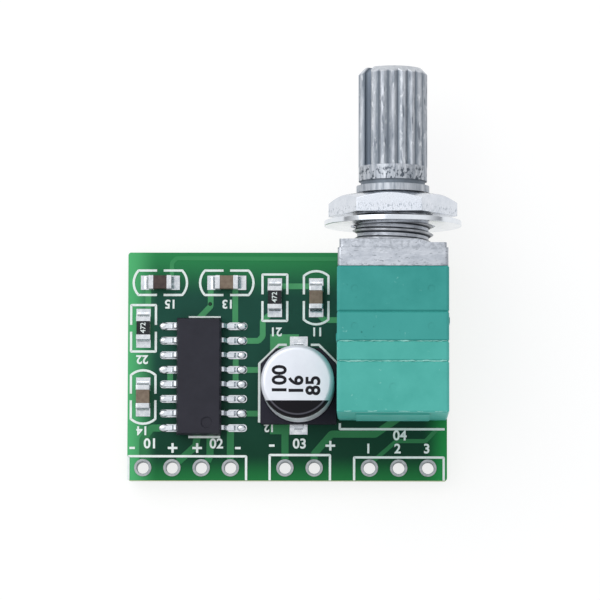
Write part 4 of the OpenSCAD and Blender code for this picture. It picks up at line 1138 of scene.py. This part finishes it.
    def build(self, finishes: Finishes) -> None:
        """Dresses the board.

        Args:
            finishes: Materials by name.
        """
        ribbon, sleeves = Trees.ribbon(), Trees.sleeves()
        copper, ink = finishes["masked_copper"], finishes["legend_ink"]
        base_low, base_high = node_box("electrolytic_base")
        can_x = (base_low.x + base_high.x) / 2
        front = [[(base_low.x + 0.8, base_high.y + 0.55), (can_x, base_high.y + 0.55)]]
        rear = [[(base_low.x + 0.8, base_low.y - 0.4), (can_x, base_low.y - 0.4)]]
        kinds = (("traces_fine", self.fine_traces(), self.fine_w),
                 ("traces_signal", self.traces(), self.trace_w),
                 ("traces_supply", self.wide_traces(), self.wide_w),
                 ("pour_front", front, self.pour_w[0]), ("pour_rear", rear, self.pour_w[1]))
        for step, (name, paths, width) in enumerate(kinds):
            # Each kind is a hair thicker than the last, so that no two faces share a plane where they cross
            Bench.grow(paths_mesh(name, paths, self.top), ribbon, {
                "Width": width, "Thickness": self.copper_t + self.copper_step * step,
                "Corner": self.trace_corner}, "solder_mask", copper)
        Bench.grow(paths_mesh("traces_underside", self.under_traces(), self.bottom), ribbon, {
            "Width": self.wide_w, "Thickness": self.copper_t, "Corner": self.under_corner},
            "solder_mask", copper)
        Bench.grow(paths_mesh("legend_outlines", self.silk_paths(), self.top), ribbon, {
            "Width": self.silk_w, "Thickness": 2 * self.silk_t, "Corner": self.silk_corner},
            "solder_mask", ink)
        name = "legend_figures"
        figures = Bench.lay(name, marks_mesh(name, self.marks(), self.top, self.silk_t))
        Bench.set_down(figures, "board", "solder_mask", ink)
        middle = (self.top + self.bottom) / 2
        Bench.grow(loose_mesh("plated_holes", [(x, self.hole_y, middle) for x in self.holes]), sleeves, {
            "Radius": self.hole_r - self.plating / 2, "Wall": self.plating, "Length": self.top - self.bottom},
            "tin", finishes["ring_tin"])
        c3, c4 = plan_centre("c3_ceramic"), plan_centre("c4_ceramic")
        dots = [(c3[0] - 1.45, c3[1] - 1.85, self.top), (c4[0] + 1.1, c4[1] - 1.4, self.top)]
        Bench.grow(loose_mesh("tented_vias", dots), sleeves, {
            "Radius": self.via_r, "Wall": self.via_wall, "Length": self.via_t},
            "solder_mask", finishes["via"])


@dataclass
class SurfaceParts:
    """The chip, the chip parts and the electrolytic capacitor on the board."""

    mound: Place = (0.9, 0.66, 0.42)
    mound_lift: float = 0.06
    mound_left: float = 0.02
    mound_right: float = 0.62
    segment_drop: float = 1.63
    shoulder: float = 0.4
    ink_t: float = 0.012
    ink_sunk: float = 0.002
    figure: float = 1.7
    figure_weight: float = 0.05
    code: float = 0.62
    code_weight: float = 0.008
    leads: LeadRow = LeadRow()

    def can_finish(self) -> PrintedCan:
        """Makes the can's finish, which knows where its printed segment starts.

        Returns:
            The finish.
        """
        middle = plan_centre("electrolytic_can")
        top = node_box("electrolytic_can")[1].z
        # Drawn and coated aluminium: bright, softly clouded, with a hard-edged black print
        return PrintedCan("drawn_aluminium_can", "#d8dbe3", "#e0e3ea", 0.42, 0.65, cloud_mm=2.6, grain_mm=0.2,
                          grain_depth_mm=0.002, gloss_spread=0.05, specular=0.12, middle=middle,
                          segment_y=middle[1] - self.segment_drop, shoulder_z=top - self.shoulder)

    def build(self, finishes: Finishes) -> None:
        """Rounds and dresses the parts.

        Args:
            finishes: Materials by name.
        """
        rounded = {
            "amplifier_chip": 0.05, "chip_leads": 0.03, "electrolytic_base": 0.06, "electrolytic_tabs": 0.03,
            "solder_pads": 0.035, "r1_substrate": 0.02, "r1_film": 0.015, "r2_substrate": 0.02,
            "r2_film": 0.015, "c1_ceramic": 0.03, "c3_ceramic": 0.03, "c4_ceramic": 0.03, "c5_ceramic": 0.03,
            "c1_ends": 0.06, "c3_ends": 0.06, "c4_ends": 0.06, "c5_ends": 0.06, "r1_ends": 0.05,
            "r2_ends": 0.05, "electrolytic_can": 0.03}
        slots = slot_names()
        for node, width in rounded.items():
            piece = Bench.copy_node(node + "_rounded", node)
            Bench.round_edges(piece, width)
            Bench.set_down(piece, "board", slots[node], finishes[slots[node]], (node,))
        self.build_solder(finishes)
        self.build_marks(finishes)

    def build_solder(self, finishes: Finishes) -> None:
        """Heaps solder on the pads before the chip's leads.

        Args:
            finishes: Materials by name.
        """
        low, high = node_box("chip_leads")
        height = node_box("circuit_board")[1].z + self.mound_lift
        rows = self.leads.places((low.y + high.y) / 2)
        places = [(x, y, height) for x in (low.x - self.mound_left, high.x + self.mound_right) for y in rows]
        sizes = dict(zip(("Length", "Width", "Height"), self.mound))
        Bench.grow(loose_mesh("lead_solder", places), Trees.mounds(), sizes, "solder", finishes["solder"])

    def build_marks(self, finishes: Finishes) -> None:
        """Prints plain values on the can and the resistors.

        Args:
            finishes: Materials by name.
        """
        x, y = plan_centre("electrolytic_can")
        lines = (("100", (x - 1.48, y + 0.11)), ("16", (x - 0.05, y - 0.36)), ("85", (x + 1.4, y - 0.36)))
        values = [Mark(text, at, self.figure, Turn.UPWARDS, self.figure_weight) for text, at in lines]
        codes = [Mark("472", plan_centre(node), self.code, Turn.UPWARDS, self.code_weight)
                 for node in ("r1_film", "r2_film")]
        prints = (("can_figures", values, "electrolytic_can", "can", "black_ink"),
                  ("resistor_figures", codes, "r2_film", "glaze", "legend_ink"))
        for name, marks, node, slot, ink in prints:
            under = node_box(node)[1].z - self.ink_sunk
            figures = Bench.lay(name, marks_mesh(name, marks, under, self.ink_t))
            Bench.set_down(figures, "board", slot, finishes[ink])


@dataclass
class VolumeControl:
    """The two-gang control with its switch, bushing, nut, washer and shaft."""

    bushing_r: float = 3.5
    bushing_foot: float = -0.4
    core_r: float = 3.06
    lead_in: float = 0.25
    thread_pitch: float = 0.75
    thread_rho: float = 0.42
    thread_sunk: float = 0.01
    teeth: int = 20
    knurl_y: float = 6.6
    crest_r: float = 2.95
    root_r: float = 2.61
    first_groove: float = math.pi / 4
    groove_half: float = 0.29
    groove_share: float = 1.3
    groove_depth: float = 0.7
    tip_chamfer: float = 0.5
    face_t: float = 0.02
    shaft_round: float = 0.05
    casting_round: float = 0.06
    mark_least: float = 0.01
    mark_most: float = 0.25
    mark_reach: float = 4.0
    mark_depth: float = 0.35
    flash_t: float = 0.045
    flash_step: float = 0.12
    flash_wander: float = 0.22
    flash_inset: float = 0.2
    flash_sunk: float = 0.06
    cover_seam: float = 0.26

    def build(self, finishes: Finishes) -> None:
        """Rounds, threads and dresses the control.

        Args:
            finishes: Materials by name.
        """
        slots = slot_names()
        rounded = (
            ("hex_nut", "nut", 0.07), ("flat_washer", "washer", 0.06),
            ("front_gang_housing", "board", 0.04), ("rear_gang_housing", "board", 0.04),
            ("switch_housing", "board", 0.04), ("switch_cover", "board", 0.04))
        for node, body, width in rounded:
            moulded = slots[node] in ("gang_plastic", "switch_plastic")
            piece = Bench.copy_node(node + "_rounded", node, join=not moulded)
            if moulded:
                self.fill_ejector_marks(piece)
            Bench.round_edges(piece, width)
            finish = finishes["washer_steel" if node == "flat_washer" else slots[node]]
            Bench.set_down(piece, body, slots[node], finish, (node,))
        self.build_shaft(finishes)
        self.build_casting(finishes)
        self.build_thread(finishes)
        self.build_flash(finishes)

    def fill_ejector_marks(self, piece: Object) -> None:
        """Makes the ejector marks in a moulding's top nearly flush, as an old mould leaves them after long
        use.

        Args:
            piece: Copy of the moulding on the bench.
        """
        top = max(vertex.co.z for vertex in piece.data.vertices)
        for vertex in piece.data.vertices:
            drop = top - vertex.co.z
            if self.mark_least < drop < self.mark_most and abs(vertex.co.x) < self.mark_reach:
                vertex.co.z = top - drop * self.mark_depth

    def shaft_finish(self) -> RolledKnurl:
        """Makes the shaft's finish, which knows where its tip and its turned band are.

        Returns:
            The finish.
        """
        tip = node_box("control_shaft")[1].y
        knurl = Zone(Axis.ALONG, self.knurl_y + 0.2, tip, 0.4)
        band = Zone(Axis.ALONG, self.knurl_y - 1.3, self.knurl_y - 0.4, 0.4)
        undercut = Zone(Axis.ALONG, self.knurl_y - 1.55, self.knurl_y - 1.3, 0.06)
        chamfer = Zone(Axis.ALONG, tip - self.tip_chamfer, tip + self.tip_chamfer, 0.05)
        # Turned aluminium with rolled teeth: grey, streaked along the shaft, torn and specked on the band,
        # with painted shade down its grooves and over the undercut
        return RolledKnurl("turned_and_knurled_aluminium", "#c8ccd2", "#9aa1aa", 0.56, 0.9, cloud_mm=0.34,
                           grain_mm=0.12, grain_depth_mm=0.02, gloss_spread=0.1, stretch=(1.0, 0.14, 1.0),
                           painted_groove_shade="#7a838d", chamfer_y=tip - self.tip_chamfer, face_y=tip - self.face_t,
                           specks=(
                               Speck("#5b626b", 0.32, 0.52, (1.0, 0.7, 1.0), band),
                               # Painted shade: the whole undercut, a narrow turned recess, is darkened
                               Speck("#4c535c", 1.0, 0.0, zone=undercut),
                               Speck("#6f7680", 0.3, 0.58, (1.0, 0.12, 1.0), knurl, 0.8),
                               Speck("#e4e7ea", 0.26, 0.58, (1.0, 0.3, 1.0), knurl, 0.75),
                               Speck("#dfe2e6", 1.0, 0.0, zone=chamfer, strength=0.6)))

    def thread_finish(self) -> RolledKnurl:
        """Makes the thread's finish, which knows how deep its valleys are.

        Returns:
            The finish.
        """
        end = node_box("bushing_plate")[1].y
        # Cut zinc: the same casting, with painted shade that darkens the valleys below brighter crests
        return RolledKnurl("cut_zinc_thread", "#bcbfc4", "#9da0a5", 0.4, 1.0, cloud_mm=0.5, grain_mm=0.14,
                           grain_depth_mm=0.01, painted_groove_shade="#4d5053", slot_r=self.core_r - 0.2,
                           root_r=self.core_r + 0.1, crest_r=self.bushing_r - 0.06,
                           chamfer_y=end, face_y=end)

    def build_shaft(self, finishes: Finishes) -> None:
        """Wears the knurl's teeth on a copy of the shaft: wider, shallower grooves, as rolling leaves them.

        Args:
            finishes: Materials by name.
        """
        piece = Bench.copy_node("shaft_knurled", "control_shaft")
        tip = node_box("control_shaft")[1].y
        pitch = 2 * math.pi / self.teeth
        # The small allowances take in points that lie on a limit
        for vertex in piece.data.vertices:
            radius = math.hypot(vertex.co.x, vertex.co.z)
            if vertex.co.y < self.knurl_y - 0.05 or radius < self.root_r - 0.01:
                continue
            angle = math.atan2(vertex.co.z, vertex.co.x)
            centre = self.first_groove + pitch * round((angle - self.first_groove) / pitch)
            off = angle - centre
            if abs(off) > self.groove_half * pitch + 0.005:
                continue
            on_chamfer = vertex.co.y > tip - self.tip_chamfer + 0.01
            lifted = self.crest_r - (self.crest_r - radius) * self.groove_depth
            if on_chamfer:
                vertex.co.y += radius - lifted
            turned = centre + off * self.groove_share
            vertex.co.x, vertex.co.z = lifted * math.cos(turned), lifted * math.sin(turned)
        Bench.round_edges(piece, self.shaft_round, 3)
        Bench.set_down(piece, "shaft", "shaft", finishes["shaft"], ("control_shaft",))

    def build_casting(self, finishes: Finishes) -> None:
        """Turns the bushing down to the thread's core on a copy of the plate.

        Args:
            finishes: Materials by name.
        """
        piece = Bench.copy_node("bushing_casting", "bushing_plate")
        end = node_box("bushing_plate")[1].y
        # The small allowances take in points that lie on a limit
        for vertex in piece.data.vertices:
            radius = math.hypot(vertex.co.x, vertex.co.z)
            if vertex.co.y > self.bushing_foot and self.core_r < radius < self.bushing_r + 0.02:
                wanted = self.core_r - (self.lead_in if vertex.co.y > end - 0.05 else 0.0)
                vertex.co.x *= wanted / radius
                vertex.co.z *= wanted / radius
        Bench.round_edges(piece, self.casting_round)
        Bench.set_down(piece, "board", "zinc", finishes["zinc"], ("bushing_plate",))

    def build_thread(self, finishes: Finishes) -> None:
        """Winds the bushing's thread.

        Args:
            finishes: Materials by name.
        """
        start = -self.thread_pitch
        length = node_box("bushing_plate")[1].y - self.thread_pitch / 2 - start
        Bench.grow(loose_mesh("bushing_thread", [(0.0, 0.0, 0.0)]), Trees.thread(), {
            "Radius": self.bushing_r - self.thread_rho - self.thread_sunk, "Length": length,
            "Turns": length / self.thread_pitch, "Depth": self.thread_rho, "Start": start},
            "zinc", finishes["thread"])

    def build_flash(self, finishes: Finishes) -> None:
        """Leaves a ragged fin of flash where the switch's mouldings meet.

        Args:
            finishes: Materials by name.
        """
        low, high = node_box("switch_housing")
        rear = node_box("switch_cover")[0].y + self.cover_seam
        left, right = low.x + self.flash_inset, high.x - self.flash_inset
        paths = [[(left, y), (right, y)] for y in (high.y, low.y, rear)]
        Bench.grow(paths_mesh("seam_flash", paths, high.z - self.flash_sunk), Trees.flash(), {
            "Thickness": self.flash_t, "Step": self.flash_step, "Wander": self.flash_wander},
            "switch_plastic", finishes["flash"])


@dataclass
class Studio:
    """Camera, floor and light."""

    camera_mm: Place = (-1.86, -37.59, 365.35)
    tilt_deg: float = -5.124
    pan_deg: float = -0.951
    roll_deg: float = -0.055
    lens: float = 256.9
    sensor: float = 36.0
    clip: tuple[float, float] = (0.01, 10.0)
    floor_half: float = 0.9
    floor_gap: float = 0.02
    softbox_size: float = 0.85
    softbox_at: Place = (-0.42, 0.36, 0.58)
    softbox_aim: Place = (-0.008, -0.005, 0.0)
    softbox_watts: float = 3.3
    sky: float = 0.68
    shadow: float = 0.26
    glow: float = 0.78
    horizon: float = 0.4
    horizon_z: tuple[float, float] = (0.1, 0.6)

    def build(self) -> None:
        """Sets up the whole studio."""
        self.build_camera()
        self.build_floor()
        self.build_light()

    def build_camera(self) -> None:
        """Places the camera at the photograph's angle."""
        data = bpy.data.cameras.new("photo_camera")
        data.lens = self.lens
        data.sensor_width = self.sensor
        data.clip_start, data.clip_end = self.clip
        camera = bpy.data.objects.new("photo_camera", data)
        bpy.context.scene.collection.objects.link(camera)
        to_camera = (Matrix.Rotation(math.radians(self.roll_deg), 3, "Z")
                     @ Matrix.Rotation(math.radians(self.pan_deg), 3, "Y")
                     @ Matrix.Rotation(math.radians(self.tilt_deg), 3, "X"))
        camera.matrix_world = (Matrix.Translation(Vector(self.camera_mm) * MM)
                               @ to_camera.transposed().to_4x4())
        bpy.context.scene.camera = camera
        bpy.context.scene.view_settings.view_transform = "Standard"

    @staticmethod
    def mirrored(tree: NodeTree) -> NodeSocket:
        """Tells what the camera sees, straight or in a mirror, from what only gives light.

        Args:
            tree: Tree of a material or a world.

        Returns:
            Output that is 1 for what is seen.
        """
        rays = add_node(tree, "ShaderNodeLightPath")
        seen = add_node(tree, "ShaderNodeMath", {
            0: rays.outputs["Is Camera Ray"], 1: rays.outputs["Is Glossy Ray"]}, operation="MAXIMUM")
        return seen.outputs["Value"]

    def build_floor(self) -> None:
        """Lays a white floor a hair under the lowest solder joint."""
        low = CAD_BOX[0].z - self.floor_gap * MM
        half = self.floor_half
        mesh = bpy.data.meshes.new("floor")
        mesh.from_pydata([(-half, -half, low), (half, -half, low), (half, half, low), (-half, half, low)], [],
                         [(0, 1, 2, 3)])
        floor = bpy.data.objects.new("floor", mesh)
        bpy.context.scene.collection.objects.link(floor)
        material = bpy.data.materials.new("studio_paper")
        tree = clear_tree(material)
        # White paper that takes the object's shadow; the camera sees it lifted, so that it stays white
        paper = add_node(tree, "ShaderNodeBsdfDiffuse", {"Color": linear("#f6f7f7")})
        dim = add_node(tree, "ShaderNodeBsdfDiffuse", {"Color": (self.shadow, self.shadow, self.shadow, 1.0)})
        glow = add_node(tree, "ShaderNodeEmission", {"Strength": self.glow})
        lifted = add_node(tree, "ShaderNodeAddShader", {0: dim.outputs["BSDF"], 1: glow.outputs["Emission"]})
        seen = add_node(tree, "ShaderNodeMixShader", {
            0: self.mirrored(tree), 1: paper.outputs["BSDF"], 2: lifted.outputs["Shader"]})
        add_node(tree, "ShaderNodeOutputMaterial", {"Surface": seen.outputs["Shader"]})
        mesh.materials.append(material)

    def build_light(self) -> None:
        """Hangs a large softbox over the board and fills the room with even light."""
        lamp = bpy.data.lights.new("softbox", "AREA")
        lamp.shape = "SQUARE"
        lamp.size = self.softbox_size
        lamp.energy = self.softbox_watts
        softbox = bpy.data.objects.new("softbox", lamp)
        bpy.context.scene.collection.objects.link(softbox)
        aim = Vector(self.softbox_aim) - Vector(self.softbox_at)
        softbox.matrix_world = (Matrix.Translation(Vector(self.softbox_at))
                                @ aim.to_track_quat("-Z", "Y").to_matrix().to_4x4())
        world = bpy.data.worlds.new("even_room")
        tree = clear_tree(world)
        aim_up = add_node(tree, "ShaderNodeSeparateXYZ", {
            "Vector": add_node(tree, "ShaderNodeTexCoord").outputs["Generated"]})
        tent = add_node(tree, "ShaderNodeMapRange", {
            "Value": aim_up.outputs["Z"], "From Min": self.horizon_z[0], "From Max": self.horizon_z[1],
            "To Min": self.horizon, "To Max": 1.0})
        level = add_node(tree, "ShaderNodeMapRange", {
            "Value": self.mirrored(tree), "To Min": self.sky, "To Max": tent.outputs["Result"]})
        room = add_node(tree, "ShaderNodeBackground", {
            "Color": linear("#fcfdff"), "Strength": level.outputs["Result"]})
        add_node(tree, "ShaderNodeOutputWorld", {"Surface": room.outputs["Background"]})
        bpy.context.scene.world = world


def build_finishes(board: PrintedBoard, parts: SurfaceParts, control: VolumeControl) -> Finishes:
    """Builds every finish.

    Args:
        board: The board, which knows its mask.
        parts: The surface-mounted parts, which know their can.
        control: The volume control, which knows its shaft.

    Returns:
        Materials by the record's slot names, with a few of the scene's own.
    """
    low, high = node_box("rear_gang_housing")
    rear_gang = Zone(Axis.ALONG, low.y, high.y, 0.02)
    plate_joint = Zone(Axis.ALONG, -2.4, -2.24, 0.12)
    plate_step = Zone(Axis.ALONG, -0.9, 0.1, 0.05)
    nut_edge = Zone(Axis.ALONG, 2.4, 2.9, 0.25)
    plain = {
        # A tented via: mask sagged into a small hole, seen as a dark dot
        "via": Finish("tented_via_mask", "#15382a", "#1b4232", 0.4, specular=0.2),
        # Screen-printed epoxy ink: flat white with thin spots
        "legend_ink": Finish("screen_printed_white_ink", "#f4fbf9", "#e6f1ee", 0.62, cloud_mm=0.4,
                             grain_mm=0.06),
        # Pad-printed black ink: flat and even
        "black_ink": Finish("pad_printed_black_ink", "#15141a", "#1d1c23", 0.5, cloud_mm=0.5, grain_mm=0.06,
                            specular=0.15),
        # Hot-air tin: bright, a little wavy from the air knife
        "tin": Finish("hot_air_levelled_tin", "#dcdfe2", "#bcc0c5", 0.3, 1.0, cloud_mm=0.4, grain_mm=0.3,
                      grain_depth_mm=0.012),
        # Tinned rings round the wire holes: greyer, dulled by handling
        "ring_tin": Finish("handled_tin_ring", "#a8acae", "#8f9497", 0.4, 1.0, cloud_mm=0.4, grain_mm=0.2,
                           grain_depth_mm=0.01),
        # Reflowed solder: bright and frozen in small waves
        "solder": Finish("reflowed_solder", "#dfe2e5", "#b9bfc5", 0.25, 1.0, cloud_mm=0.35, grain_mm=0.4,
                         grain_depth_mm=0.014),
        # Transfer-moulded epoxy: near black with a blue cast, matt from the etched mould
        "epoxy": Finish("moulded_epoxy", "#26262f", "#2d2d36", 0.52, cloud_mm=1.4, grain_mm=0.07,
                        grain_depth_mm=0.006, specular=0.2),
        # Matt tin on copper leads: pale grey
        "lead_frame": Finish("matt_tinned_lead_frame", "#d9dde2", "#bfc4ca", 0.34, 1.0, cloud_mm=0.4,
                             grain_mm=0.15),
        # Fired barium titanate: brown, faintly speckled
        "ceramic_brown": Finish("fired_brown_ceramic", "#6d5c4c", "#80705f", 0.42, cloud_mm=0.35,
                                grain_mm=0.05),
        # A denser grade of the same: dark brown
        "ceramic_dark": Finish("fired_dark_ceramic", "#3d3130", "#4d403c", 0.42, cloud_mm=0.35, grain_mm=0.05,
                               specular=0.3),
        # Pressed alumina: off-white and chalky
        "alumina": Finish("pressed_alumina", "#dcdad2", "#cfccc3", 0.6, cloud_mm=0.3, grain_mm=0.05),
        # Overglaze on a thick-film resistor: black glass
        "glaze": Finish("black_overglaze", "#1c1d21", "#25262b", 0.25, cloud_mm=0.5, grain_mm=0.1,
                        specular=0.25),
        # Moulded phenolic base: black, dull
        "base_plastic": Finish("moulded_black_base", "#21202a", "#282731", 0.5, cloud_mm=1.0, grain_mm=0.08,
                               specular=0.15),
        # Die-cast zinc: pale grey, rough from the die, with pits, and darker marks along its rear joint and
        # over its step
        "zinc": Finish("die_cast_zinc", "#c0c4cb", "#a9aeb6", 0.44, 1.0, cloud_mm=0.5, grain_mm=0.16,
                       grain_depth_mm=0.02, gloss_spread=0.1, stretch=(0.5, 1.0, 1.0), specks=(
                           Speck("#8d9299", 0.2, 0.6, (0.5, 1.0, 1.0)),
                           Speck("#7d8289", 0.4, 0.5, (1.0, 2.0, 1.0), plate_joint, 0.8),
                           Speck("#8f949b", 0.3, 0.5, zone=plate_step, strength=0.5))),
        # Nickel-plated steel: bright and cool, with spanner scuffs along the nut's inner edge
        "plated_steel": Finish("nickel_plated_steel", "#dde1e8", "#d1d6de", 0.21, 1.0, cloud_mm=1.1,
                               grain_mm=0.2, grain_depth_mm=0.003, gloss_spread=0.04, specks=(
                                   Speck("#b0b7c0", 0.16, 0.54, (1.4, 0.6, 1.0), nut_edge),)),
        # The same plating on a stamped washer: smoother, so that it mirrors the paper under it
        "washer_steel": Finish("bright_plated_washer", "#e4e8ed", "#dadfe6", 0.12, 1.0, cloud_mm=1.1,
                               grain_mm=0.2, grain_depth_mm=0.002, gloss_spread=0.03),
        # Hardened spring steel: dark grey with rolling streaks
        "spring_steel": Finish("spring_steel", "#8d9298", "#787d84", 0.35, 1.0, cloud_mm=0.6,
                               stretch=(1, 6, 1)),
        # Glass-filled polyester of the gangs: teal, satin, with faint flow clouds
        "gang_plastic": Finish("moulded_teal_polyester", "#35958e", "#3f9f98", 0.46, cloud_mm=2.6,
                               grain_mm=0.14, grain_depth_mm=0.006, specular=0.2, specks=(
                                   Speck("#47a8a1", 1.0, 0.0, zone=rear_gang, strength=0.5),
                                   Speck("#6fbab2", 0.45, 0.69), Speck("#2b8079", 0.7, 0.68))),
        # The switch's moulding: the same polyester in a lighter teal than the gangs
        "switch_plastic": Finish("moulded_light_teal_polyester", "#4bada2", "#55b7ac", 0.46, cloud_mm=2.6,
                                 grain_mm=0.14, grain_depth_mm=0.006, specular=0.2, specks=(
                                     Speck("#86cdc3", 0.45, 0.69),)),
        # Thin flash of that moulding: paler, since light passes through it
        "flash": Finish("thin_teal_flash", "#80c6bc", "#98d6cd", 0.5, cloud_mm=0.3, grain_mm=0.06),
        # Paper phenolic: brown and fibrous
        "phenolic": Finish("paper_phenolic", "#8a6a3c", "#785a31", 0.6, cloud_mm=0.5, stretch=(1, 1, 5)),
        # Acetal: white, waxy
        "acetal": Finish("moulded_acetal", "#e7e5df", "#dcdad3", 0.4, cloud_mm=1.5),
        # Phosphor bronze strip: warm, with rolling streaks
        "bronze": Finish("phosphor_bronze", "#c9a06a", "#b58c58", 0.32, 1.0, cloud_mm=0.5,
                         stretch=(1, 1, 0.2)),
        # Tinned brass pins: pale yellow grey
        "tinned_brass": Finish("tinned_brass", "#cfc8b4", "#beb7a4", 0.34, 1.0, cloud_mm=0.5,
                               stretch=(1, 1, 0.2)),
    }
    built = {slot: finish.build() for slot, finish in plain.items()}
    built["solder_mask"] = board.finish().build()
    built["masked_copper"] = board.copper_finish().build()
    built["can"] = parts.can_finish().build()
    built["shaft"] = control.shaft_finish().build()
    built["thread"] = control.thread_finish().build()
    return built


def dress_nodes(finishes: Finishes) -> None:
    """Gives every CAD node the finish of its slot.

    Args:
        finishes: Materials by slot.
    """
    own = {"wire_rings": "ring_tin", "flat_washer": "washer_steel"}
    for node, slot in slot_names().items():
        finish = finishes[own.get(node, slot)]
        mesh = frame["nodes"][node].data
        mesh.materials.clear()
        mesh.materials.append(finish)
        LOG.info("%s: %s", node, finish.name)


def main() -> None:
    """Builds the studio, the finishes and every piece, in order."""
    logging.basicConfig(level=logging.INFO, format="%(name)s: %(message)s")
    Studio().build()
    board, parts, control = PrintedBoard(), SurfaceParts(), VolumeControl()
    finishes = build_finishes(board, parts, control)
    dress_nodes(finishes)
    board.build(finishes)
    parts.build(finishes)
    control.build(finishes)


if __name__ == "__main__":
    main()
